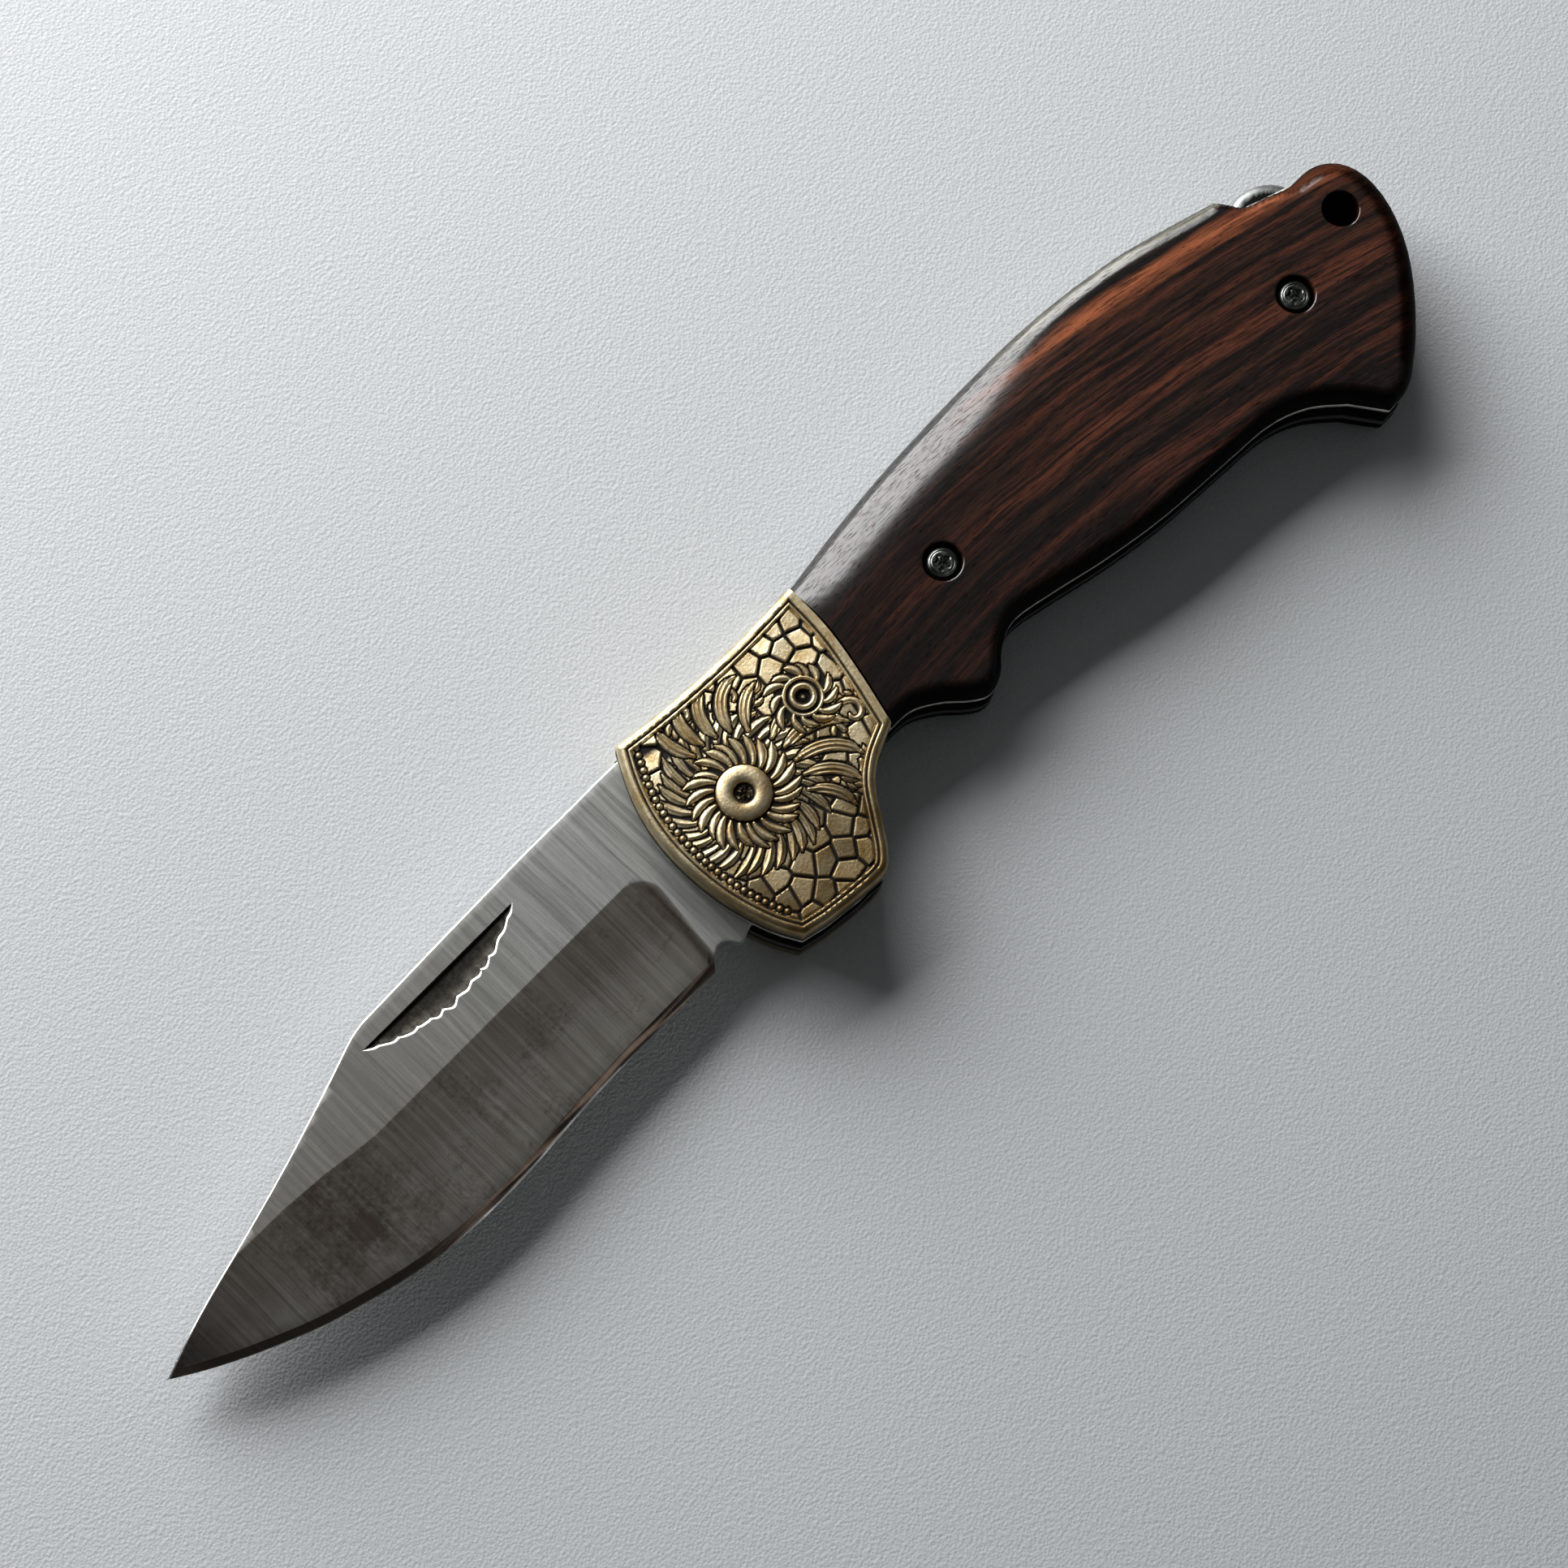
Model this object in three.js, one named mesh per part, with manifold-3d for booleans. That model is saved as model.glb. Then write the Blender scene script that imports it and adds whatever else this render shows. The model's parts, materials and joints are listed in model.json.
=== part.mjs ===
// A lock-back folding knife, shown open and lying on its far side.
// Millimetres. The origin is on the blade's pivot axis, on the surface that the knife lies on.
// +X runs from the pivot to the butt, +Y to the spine, +Z up to the near side.
import * as THREE from 'three';
import { mergeVertices } from 'three/addons/utils/BufferGeometryUtils.js';
import Module from 'manifold-3d';

const wasm = await Module();
wasm.setup();

// Thickness of each layer of the handle.
const scaleThickness = 4.0;
const linerThickness = 1.25;
const bladeThickness = 2.8;
const washerThickness = 0.3;
const washerClearance = 0.025;

// Lengths along the knife, from the pivot. The handle holds the closed blade, so it ends behind its point.
const bladeReach = 98.6;
const buttBehindTip = 14.7;
const buttReach = bladeReach + buttBehindTip;
const jointReach = 22.4;
const jointLean = 3.5;

// Running and standing clearances.
const jointGap = 0.3;
const runningClearance = 0.05;
const pinClearance = 0.05;
const headClearance = 0.05;
const screwClearance = 0.15;
const shankEndClearance = 0.15;
const lockClearance = 0.3;
const sideClearance = 0.1;
const tipClearance = 0.9;
const springRootClearance = 0.2;

// Pivot: a barrel nut with a head on the far side, and a screw with a head on the near side.
const barrelRadius = 2.5;
const barrelBore = 1.6;
const barrelFloor = 1.6;
const barrelEndGap = 0.3;
const pivotHeadRadius = 3.5;
const pivotHeadHeight = 1.2;
const pivotHeadProud = 0.2;
const pivotHeadChamfer = 0.3;
const pivotScrewRadius = 1.45;
const pivotScrewEndGap = 1.0;
const pivotSocketRadius = 1.2;
const pivotSocketDepth = 0.8;
const washerRadius = 4.6;

// Blade.
const spineHeight = 14.6;
const tangRadius = 9.4;
const tangStepHeight = 13.8;
const tangRoundEnd = THREE.MathUtils.degToRad(208);
const clipStart = 52.0;
const clipRise = 13.9;
const heelReach = 17.4;
const edgeThickness = 0.16;
const bevelThickness = 0.7;
const bevelWidth = 0.8;
const leastFlank = 0.3;
const bladeChamfer = 0.2;
const grindHeight = 2.9;
const plungeReach = 14.7;
const nickStart = 28.7;
const nickEnd = 54.4;
const nickTop = 11.3;
const nickDepth = 0.7;
const nickWidth = 3.6;
const nickFullness = 0.8;
const nickRipples = 15;
const nickRippleHeight = 0.3;

// Lock bar: a rocker along the spine, its nose in front and its thumb tail at the rear.
const noseReach = 1.6;
const hookLength = 3.4;
const hookFrontHeight = 9.75;
const hookRearHeight = 8.55;
const pocketDraft = 0.3;
const rockerReach = 52;
const rockerHeight = 12.3;
const rockerPinRadius = 1.5;
const lockAngle = THREE.MathUtils.degToRad(1.9);
const closedAngle = THREE.MathUtils.degToRad(171);
const barInset = 0.2;
const linerRise = 0.5;

// Leaf spring under the lock bar, and the spacer that holds its root.
const springThickness = 1.0;
const springContact = 71;
const springLand = 3;
const springRootDepth = 3.4;
const spacerInset = 0.35;
const spacerTop = 3.7;

// Scale screws, bolster rivets, pins and the lanyard hole.
const screwHeadRadius = 2.1;
const screwHeadHeight = 1.3;
const screwChamfer = 0.25;
const screwSunk = 0.5;
const screwRecessRadius = 2.5;
const screwShankRadius = 1.2;
const screwSlotWidth = 0.5;
const screwSlotDepth = 0.5;
const frontScrewPlace = new THREE.Vector2(38.2, 2.9);
const rearScrewPlace = new THREE.Vector2(buttReach - 18.7, -4.7);
const rivetRadius = 1.9;
const rivetEyeRadius = 0.8;
const rivetEyeDepth = 1.0;
const rivetShankRadius = 1.3;
const rivetHeadHeight = 1.6;
const rivetChamfer = 0.2;
const rivetSunk = 0.1;
const rivetPlace = new THREE.Vector2(13.8, 3.3);
const spacerPinRadius = 1.25;
const pinEndInset = 0.1;
const lanyardRadius = 2.35;
const lanyardPlace = new THREE.Vector2(buttReach - 6.3, -1.1);

// Rounding of the scales and the bolsters, and the sunk field of the bolsters.
const spineRound = { width: 4.6, depth: 3.2 };
const notchRound = { width: 1.0, depth: 1.3 };
const buttRound = { width: 3.2, depth: 3.4 };
const bellyRound = { width: 1.6, depth: 1.9 };
const rimRound = { width: 0.9, depth: 0.9 };
const rimWidth = 1.9;
const fieldDepth = 0.5;

// Heights of the layers, from the resting face up.
const farLinerBase = scaleThickness;
const slotBase = farLinerBase + linerThickness;
const bladeBase = slotBase + washerThickness + 2 * washerClearance;
const bladeTop = bladeBase + bladeThickness;
const slotTop = bladeTop + washerThickness + 2 * washerClearance;
const nearScaleBase = slotTop + linerThickness;
const nearFace = nearScaleBase + scaleThickness;

// How finely round things are made, and how far a cutter reaches past what it cuts.
const roundSides = 24;
const pinSides = 16;
const tipRoomSides = 180;
const scaleRoundSteps = 4;
const rimRoundSteps = 3;
const easePasses = 6;
const samePoint = 1e-4;
const leastStep = 0.15;
const beyond = 1;
const farBeyond = 2 * buttReach;

const centre = new THREE.Vector2(0, 0);
const rockerPlace = new THREE.Vector2(rockerReach, rockerHeight);

const points = (list) => list.map(([x, y]) => new THREE.Vector2(x, y));
const between = (a, b, share) => a + share * (b - a);

// A smooth curve through a few points, sampled evenly.
const curve = (list, steps) => new THREE.SplineCurve(points(list)).getPoints(steps);

// Height of a sampled curve at one place along the knife.
function heightAt(samples, x) {
  for (let i = 1; i < samples.length; i++) {
    const [a, b] = [samples[i - 1], samples[i]];
    if ((x - a.x) * (x - b.x) <= 0 && a.x !== b.x) {
      return between(a.y, b.y, (x - a.x) / (b.x - a.x));
    }
  }
  const first = samples[0];
  const last = samples[samples.length - 1];
  return Math.abs(x - first.x) < Math.abs(x - last.x) ? first.y : last.y;
}

// The handle's outline, in stretches. The bolster covers the front ones.
const frontTop = [-6.8, 15.2];
const frontBottom = [-7.6, -17.5];
const jointTop = [jointReach, 14.1];
const jointBottom = [jointReach - jointLean, -6.8];
const notchStart = [buttReach - 16.4, 11.0];
const notchEnd = [buttReach - 6.4, 5.9];
const tipTop = [buttReach - 15.5, -22.2];
const alongScale = (share) => between(jointReach, buttReach, share);

const spineFront = curve([frontTop, [-2, 14.6], [4, 14.1], [13, 13.8], jointTop], 14);
const spineRear = curve([jointTop, [alongScale(0.106), 15.5], [alongScale(0.238), 16.6],
  [alongScale(0.392), 17.0], [alongScale(0.524), 16.6], [buttReach - 31.3, 15.0], [buttReach - 23.3, 13.0],
  notchStart], 28);
const thumbNotch = points([[buttReach - 15.5, 9.9], [buttReach - 14.3, 8.1],
  [buttReach - 11.3, 7.0], [buttReach - 8.2, 6.0]]);
const butt = curve([notchEnd, [buttReach - 3.3, 5.2], [buttReach - 0.9, 3.0], [buttReach, -0.6],
  [buttReach - 0.8, -5.2], [buttReach - 3.2, -10.2], [buttReach - 6.9, -14.9],
  [buttReach - 11.5, -19.3], tipTop], 22);
const buttTip = points([[buttReach - 17.6, -23.0], [buttReach - 20.2, -23.1]]);
const bellyRear = curve([[buttReach - 23.3, -18.8], [buttReach - 27.3, -15.5], [buttReach - 32.5, -13.6],
  [alongScale(0.557), -13.0], [alongScale(0.447), -12.3], [alongScale(0.348), -10.9],
  [alongScale(0.26), -9.1], [jointReach + 17.6, -8.1], [jointReach + 13.8, -9.5],
  [jointReach + 11.2, -11.7], [jointReach + 8.6, -12.5], [jointReach + 6.4, -11.4],
  [jointReach + 3.6, -8.9], [jointReach + 0.2, -7.0], jointBottom], 46);
const bellyFront = points([jointBottom, [14.8, -8.6], [12.2, -10.6], [9.6, -14.2], [7.1, -17.6],
  [5.2, -19.0], [0.9, -18.9], [-4.2, -18.3], frontBottom]);
const bolsterFront = curve([frontBottom, [-9.6, -13.6], [-11.3, -7.4], [-11.8, -0.6],
  [-11.1, 5.4], [-9.3, 10.6], frontTop], 18);
const jointCurve = curve([jointTop, [jointReach - 0.3, 7.5], [jointReach - 1.5, 1.0], jointBottom], 8);

// How far a plate is made past the joint before it is cut there.
const jointOverlap = 6;

// Joins stretches into one outline, without the points that two stretches share.
function outlineOf(...stretches) {
  const result = [];
  for (const point of stretches.flat()) {
    const last = result[result.length - 1];
    if (!last || last.distanceTo(point) > samePoint) result.push(point);
  }
  if (result[0].distanceTo(result[result.length - 1]) < samePoint) result.pop();
  return result;
}

const handleOutline = outlineOf(spineFront, spineRear, thumbNotch, butt, buttTip, bellyRear,
  bellyFront, bolsterFront);

// Moves each point of a clockwise outline inwards, by a width of its own.
function inset(outline, widths) {
  const leastSpread = 0.5;
  return outline.map((point, i) => {
    const before = outline[(i + outline.length - 1) % outline.length];
    const after = outline[(i + 1) % outline.length];
    const a = point.clone().sub(before).normalize();
    const b = after.clone().sub(point).normalize();
    const normal = new THREE.Vector2(a.y + b.y, -a.x - b.x).normalize();
    const spread = Math.max(leastSpread, normal.x * a.y - normal.y * a.x);
    return point.clone().addScaledVector(normal, widths[i] / spread);
  });
}

// A whole outline set in by one width, without the points that would cross at a corner.
function setIn(outline, width) {
  const nearest = (p) => Math.min(...outline.map((a, i) => {
    const b = outline[(i + 1) % outline.length];
    const run = b.clone().sub(a);
    const share = THREE.MathUtils.clamp(p.clone().sub(a).dot(run) / run.lengthSq(), 0, 1);
    return p.distanceTo(a.clone().addScaledVector(run, share));
  }));
  const leastDistance = 0.97 * width;
  const clear = inset(outline, outline.map(() => width)).filter((p) => nearest(p) > leastDistance);
  return clear.filter((p, i) => i === 0 || p.distanceTo(clear[i - 1]) > leastStep);
}

function rectangle(left, bottom, right, top) {
  return points([[left, bottom], [right, bottom], [right, top], [left, top]]);
}

function solidOf(geometry) {
  const bare = geometry.clone();
  bare.deleteAttribute('normal');
  bare.deleteAttribute('uv');
  const merged = mergeVertices(bare, 1e-5);
  return new wasm.Manifold(new wasm.Mesh({
    numProp: 3,
    vertProperties: new Float32Array(merged.attributes.position.array),
    triVerts: new Uint32Array(merged.index.array),
  }));
}

function geometryOf(solid) {
  const mesh = solid.getMesh();
  const geometry = new THREE.BufferGeometry();
  geometry.setAttribute('position', new THREE.BufferAttribute(new Float32Array(mesh.vertProperties), 3));
  geometry.setIndex(new THREE.BufferAttribute(new Uint32Array(mesh.triVerts), 1));
  return geometry;
}

function cut(geometry, ...tools) {
  return geometryOf(tools.reduce((solid, tool) => solid.subtract(solidOf(tool)), solidOf(geometry)));
}

function common(a, b) {
  return geometryOf(solidOf(a).intersect(solidOf(b)));
}

function prism(outline, low, high) {
  const shape = new THREE.Shape(outline);
  const geometry = new THREE.ExtrudeGeometry(shape, { depth: high - low, bevelEnabled: false });
  return geometry.translate(0, 0, low);
}

function rod(place, radius, low, high, sides = roundSides) {
  const geometry = new THREE.CylinderGeometry(radius, radius, high - low, sides);
  return geometry.rotateX(Math.PI / 2).translate(place.x, place.y, (low + high) / 2);
}

// A turned piece from its profile of [radius, height] pairs, starting and ending on the axis.
function turned(profile) {
  return new THREE.LatheGeometry(points(profile), roundSides).rotateX(Math.PI / 2);
}

// The same piece for the far side of the knife.
function farSide(geometry) {
  const mirrored = geometry.index ? geometry.clone() : mergeVertices(geometry);
  mirrored.scale(1, 1, -1).translate(0, 0, nearFace);
  const index = mirrored.index.array;
  for (let i = 0; i < index.length; i += 3) {
    [index[i + 1], index[i + 2]] = [index[i + 2], index[i + 1]];
  }
  mirrored.deleteAttribute('normal');
  return mirrored;
}

// Triangles that fill a flat outline, each one anticlockwise.
function faceOf(outline) {
  const turnsLeft = ([a, b, c]) => THREE.ShapeUtils.area([outline[a], outline[b], outline[c]]) > 0;
  return THREE.ShapeUtils.triangulateShape(outline, []).map(([a, b, c]) => (
    turnsLeft([a, b, c]) ? [a, b, c] : [a, c, b]));
}

function bodyOf(position, index) {
  const geometry = new THREE.BufferGeometry();
  geometry.setAttribute('position', new THREE.Float32BufferAttribute(position, 3));
  geometry.setIndex(index);
  return geometry;
}

// Stacks rings of points into one closed body, with a flat face at each end.
function stackRings(rings) {
  const count = rings[0].length;
  const position = rings.flat().flatMap((p) => [p.x, p.y, p.z]);
  const index = [];
  for (let k = 0; k < rings.length - 1; k++) {
    for (let i = 0; i < count; i++) {
      const [a, b] = [k * count + i, k * count + ((i + 1) % count)];
      index.push(a, a + count, b, b, a + count, b + count);
    }
  }
  const flat = (ring) => ring.map((p) => new THREE.Vector2(p.x, p.y));
  const top = (rings.length - 1) * count;
  for (const [a, b, c] of faceOf(flat(rings[0]))) index.push(a, c, b);
  for (const [a, b, c] of faceOf(flat(rings[rings.length - 1]))) index.push(top + a, top + b, top + c);
  return bodyOf(position, index);
}

// Closes a row of matching sections along X into one body.
function bridgeSections(sections) {
  const count = sections[0].length;
  const position = sections.flat().flatMap((p) => [p.x, p.y, p.z]);
  const index = [];
  for (let k = 0; k < sections.length - 1; k++) {
    for (let i = 0; i < count; i++) {
      const [a, b] = [k * count + i, k * count + ((i + 1) % count)];
      index.push(a, b, a + count, b, b + count, a + count);
    }
  }
  const flat = sections[0].map((p) => new THREE.Vector2(p.y, p.z));
  const last = (sections.length - 1) * count;
  for (const [a, b, c] of faceOf(flat)) {
    index.push(a, b, c);
    index.push(last + a, last + c, last + b);
  }
  return bodyOf(position, index);
}

// Spreads a sudden change of width along the outline.
function eased(values) {
  let result = values;
  for (let pass = 0; pass < easePasses; pass++) {
    result = result.map((value, i) => {
      const before = result[(i + result.length - 1) % result.length];
      const after = result[(i + 1) % result.length];
      return (before + 2 * value + after) / 4;
    });
  }
  return result;
}

// A plate of the near side whose outer edge is rounded, by the rounding that each point asks for.
function roundedPlate(outline, roundingAt, steps) {
  const widths = eased(outline.map((p) => roundingAt(p).width));
  const depths = eased(outline.map((p) => roundingAt(p).depth));
  const at = (ring, heights) => ring.map((p, i) => new THREE.Vector3(p.x, p.y, heights[i]));
  const rings = [at(outline, outline.map(() => nearScaleBase))];
  for (let k = 0; k <= steps; k++) {
    const turn = (k / steps) * (Math.PI / 2);
    const ring = inset(outline, widths.map((width) => width * (1 - Math.cos(turn))));
    rings.push(at(ring, depths.map((depth) => nearFace - depth * (1 - Math.sin(turn)))));
  }
  return stackRings(rings);
}

// Everything past the joint between bolster and scale, towards the butt (1) or the tip (-1).
function besideJoint(towards, gap) {
  const far = towards * farBeyond;
  const edge = jointCurve.map((p) => new THREE.Vector2(p.x + gap, p.y));
  const top = new THREE.Vector2(edge[0].x + beyond, farBeyond);
  const bottom = new THREE.Vector2(edge[edge.length - 1].x - beyond, -farBeyond);
  const ends = points([[far, farBeyond], [far, -farBeyond]]);
  return prism([ends[0], top, ...edge, bottom, ends[1]], -beyond, nearFace + beyond);
}

function bolster() {
  const rear = jointReach + jointOverlap;
  const tail = points([[rear, jointTop[1]], [rear, jointBottom[1]]]);
  const outline = outlineOf(spineFront, tail, bellyFront, bolsterFront);
  const plate = cut(roundedPlate(outline, () => rimRound, rimRoundSteps), besideJoint(1, 0));
  const face = outlineOf(spineFront, jointCurve, bellyFront, bolsterFront);
  const field = prism(setIn(face, rimWidth), nearFace - fieldDepth, nearFace + beyond);
  const rivetSeat = nearFace - fieldDepth - rivetHeadHeight;
  return cut(plate, field,
    rod(centre, pivotHeadRadius + screwClearance, nearFace - pivotHeadHeight, nearFace + beyond),
    rod(centre, barrelRadius + pinClearance, 0, nearFace),
    rod(rivetPlace, rivetRadius + pinClearance, rivetSeat, nearFace + beyond),
    rod(rivetPlace, rivetShankRadius + pinClearance, 0, nearFace));
}

// Rounding of the scale at one place of its outline.
function scaleRounding(point) {
  const aboveNotch = point.y > notchEnd[1] - leastStep;
  if (point.x >= notchStart[0] && aboveNotch) return notchRound;
  if (aboveNotch) return spineRound;
  return point.x > tipTop[0] + leastStep ? buttRound : bellyRound;
}

function scale() {
  const front = jointReach - jointLean - jointOverlap;
  const lead = points([[front, jointTop[1]], [front, jointBottom[1]]]);
  const outline = outlineOf([lead[0]], spineRear, thumbNotch, butt, buttTip, bellyRear, [lead[1]]);
  const plate = cut(roundedPlate(outline, scaleRounding, scaleRoundSteps), besideJoint(-1, jointGap));
  const recessBase = nearFace - screwSunk - screwHeadHeight;
  const holes = [frontScrewPlace, rearScrewPlace].flatMap((place) => [
    rod(place, screwRecessRadius, recessBase, nearFace + beyond),
    rod(place, screwShankRadius + screwClearance, 0, nearFace),
  ]);
  return cut(plate, ...holes, rod(lanyardPlace, lanyardRadius, 0, nearFace + beyond));
}

// Pins of the rear spacer, each this far in from the butt.
const spacerPinPlaces = points([[buttReach - 6.0, -9.0], [buttReach - 12.2, -15.6]]);

function liner() {
  const raisedNotch = thumbNotch.map((p) => new THREE.Vector2(p.x, p.y + linerRise));
  const outline = outlineOf(spineFront, spineRear, raisedNotch, butt, buttTip, bellyRear, bellyFront,
    bolsterFront);
  const through = (place, radius, sides) => (
    rod(place, radius, slotTop - beyond, nearScaleBase + beyond, sides));
  return cut(prism(outline, slotTop, nearScaleBase),
    through(centre, barrelRadius + pinClearance),
    through(rockerPlace, rockerPinRadius + pinClearance, pinSides),
    through(rivetPlace, rivetShankRadius + pinClearance),
    ...spacerPinPlaces.map((place) => through(place, spacerPinRadius + pinClearance, pinSides)),
    ...[frontScrewPlace, rearScrewPlace].map((place) => through(place, screwShankRadius + pinClearance)),
    through(lanyardPlace, lanyardRadius));
}

// Where a point of the lock bar goes when its nose drops into the tang.
const locked = (point) => point.clone().rotateAround(rockerPlace, lockAngle);

const spineSamples = outlineOf(spineFront, spineRear);
const hookRear = noseReach + hookLength;
const hook = points([[noseReach, hookFrontHeight], [hookRear, hookRearHeight]]);

// Underside of the lock bar, from the hook to the tail: it clears the closed blade's edge.
const barUnderside = points([[hookRear, 11.0], [hookRear + 4, 11.3], [hookRear + 7.5, 11.7],
  [hookRear + 11.5, 11.7], [hookRear + 16, 11.3], [rockerReach - 22, 10.2], [rockerReach - 8, 8.9],
  [rockerReach, 8.6], [between(rockerReach, springContact, 0.58), 8.4], [springContact, 8.2],
  [between(springContact, buttReach, 0.21), 8.0], [buttReach - 23.3, 7.1], [buttReach - 15.3, 5.6],
  [buttReach - 8.8, 4.9]]);
const tailHump = curve([[buttReach - 15.9, 10.3], [buttReach - 14.5, 9.6], [buttReach - 12.8, 10.0],
  [buttReach - 11, 9.8], [buttReach - 9.2, 9.1], [buttReach - 7.7, 7.8], [buttReach - 6.9, 6.3],
  [buttReach - 7.4, 5.3]], 16);

function lockBar() {
  const topEnd = buttReach - 18;
  const topSteps = 13;
  const top = [];
  for (let i = 0; i <= topSteps; i++) {
    const x = between(noseReach, topEnd, i / topSteps);
    top.push(new THREE.Vector2(x, heightAt(spineSamples, x) - barInset));
  }
  const outline = [...top, ...tailHump, ...[...barUnderside].reverse(), ...[...hook].reverse()];
  const low = slotBase + sideClearance;
  const high = slotTop - sideClearance;
  const bore = rod(rockerPlace, rockerPinRadius + runningClearance, low - beyond, high + beyond, pinSides);
  return cut(prism(outline, low, high), bore);
}

// Room in the tang for the dropped hook.
function hookPocket() {
  const [front, rear] = hook.map(locked);
  const mouth = spineHeight + 2 * beyond;
  return points([
    [noseReach - lockClearance, mouth],
    [noseReach - lockClearance, front.y - lockClearance],
    [rear.x + lockClearance, rear.y - lockClearance],
    [rear.x + lockClearance + pocketDraft, mouth],
  ]);
}

// Blade outlines: the clipped spine, the edge from tip to heel, the choil and the top of the grind.
const alongEdge = (share) => between(-heelReach, -bladeReach, share);
const clip = curve([[-bladeReach, 0], [-bladeReach + 9, 2.9], [-bladeReach + 18, 5.3],
  [between(-clipStart, -bladeReach, 0.408), 8.0], [-clipStart - 8.7, 11.3], [-clipStart - 2.6, 13.4],
  [-clipStart, clipRise]], 20);
const edge = curve([[-bladeReach, 0], [-bladeReach + 3.7, -2.3], [-bladeReach + 8.2, -4.7],
  [-bladeReach + 12.8, -6.8], [alongEdge(0.782), -8.8], [alongEdge(0.717), -10.4],
  [alongEdge(0.652), -11.8], [alongEdge(0.579), -12.9], [alongEdge(0.501), -13.4],
  [alongEdge(0.415), -13.4], [alongEdge(0.328), -12.9], [alongEdge(0.241), -12.5],
  [alongEdge(0.143), -12.3], [-heelReach, -12.3]], 36);
const choil = points([[-heelReach + 1.3, -10.9], [-heelReach + 2.3, -10.4], [-heelReach + 3.2, -10.4],
  [-heelReach + 4, -11.0], [-12.7, -12.1], [-12.0, -12.2], [-11.4, -11.8], [-10.4, -11.4], [-8.6, -11.1]]);
const grindLine = points([[0, grindHeight], [-clipStart - 8.5, grindHeight],
  [-clipStart - 12, grindHeight + 0.4], [-clipStart - 16.2, grindHeight + 1],
  [-clipStart - 22.6, grindHeight + 1.5], [-clipStart - 32, grindHeight + 1.6]]);
const plungeLine = points([[-plungeReach - 1.4, -farBeyond], [-plungeReach - 1.3, -10.3],
  [-plungeReach - 0.5, -4.4], [-plungeReach, -0.5], [-plungeReach - 0.2, grindHeight - 1.2],
  [-plungeReach - 0.8, grindHeight - 0.5], [-plungeReach - 1.9, grindHeight + 0.1],
  [-plungeReach - 4.1, grindHeight + 0.6], [-plungeReach - 8, spineHeight]]);

function bladeSlab() {
  const roundStart = Math.asin((noseReach - lockClearance) / tangRadius);
  const roundSteps = 28;
  const round = [];
  for (let i = 0; i <= roundSteps; i++) {
    const angle = between(roundStart, tangRoundEnd, i / roundSteps);
    round.push(new THREE.Vector2(Math.sin(angle), Math.cos(angle)).multiplyScalar(tangRadius));
  }
  const step = points([[noseReach - lockClearance, tangStepHeight]]);
  const back = points([[-38, spineHeight - 0.3], [-24, spineHeight], [-8, spineHeight]]);
  const outline = outlineOf(step, round, [...choil].reverse(), [...edge].reverse(), clip, back);
  const geometry = new THREE.ExtrudeGeometry(new THREE.Shape(outline), {
    depth: bladeThickness - 2 * bladeChamfer, bevelThickness: bladeChamfer, bevelSize: bladeChamfer,
    bevelOffset: -bladeChamfer, bevelSegments: 1,
  });
  return geometry.translate(0, 0, bladeBase + bladeChamfer);
}

// What grinding takes off the near face: a wedge from the grind line down to the thin edge.
function grindWedge() {
  const middle = (bladeBase + bladeTop) / 2;
  const steps = 30;
  const sections = [];
  for (let i = 0; i <= steps; i++) {
    const x = between(-plungeReach + 5, -bladeReach - beyond, i / steps);
    const low = heightAt(edge, x);
    const high = heightAt(grindLine, x);
    const bevel = Math.min(low + bevelWidth, high - leastFlank);
    const slope = (bladeThickness - bevelThickness) / 2 / (high - bevel);
    sections.push([
      [high + beyond, bladeTop + slope * beyond],
      [bevel, middle + bevelThickness / 2],
      [low, middle + edgeThickness / 2],
      [low - 2 * beyond, middle + edgeThickness / 2],
      [low - 2 * beyond, bladeTop + 2 * beyond],
      [high + beyond, bladeTop + 2 * beyond],
    ].map(([y, z]) => new THREE.Vector3(x, y, z)));
  }
  return bridgeSections(sections);
}

function grindCutter() {
  const ahead = points([[-farBeyond, spineHeight], [-farBeyond, -farBeyond]]);
  return common(grindWedge(), prism([...plungeLine, ...ahead], bladeBase - beyond, bladeTop + beyond));
}

// The nail nick: straight along its top, with a rippled lower edge.
function nailNick() {
  const steps = 3 * nickRipples;
  const lower = [];
  for (let i = 0; i <= steps; i++) {
    const share = i / steps;
    const swell = Math.sin(Math.PI * share);
    const ripple = nickRippleHeight * swell * Math.abs(Math.sin(Math.PI * nickRipples * share));
    const drop = nickWidth * swell ** nickFullness + ripple;
    lower.push(new THREE.Vector2(between(-nickStart, -nickEnd, share), nickTop - drop));
  }
  const upper = points([[-nickEnd, nickTop], [-nickStart, nickTop]]);
  return prism(outlineOf(lower, upper), bladeTop - nickDepth, bladeTop + beyond);
}

function blade() {
  const wedge = grindCutter();
  const pocket = prism(hookPocket(), bladeBase - beyond, bladeTop + beyond);
  const closedPocket = pocket.clone().rotateZ(-closedAngle);
  const bore = rod(centre, barrelRadius + runningClearance, bladeBase - beyond, bladeTop + beyond);
  return cut(bladeSlab(), wedge, farSide(wedge), pocket, closedPocket, bore, nailNick());
}

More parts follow.
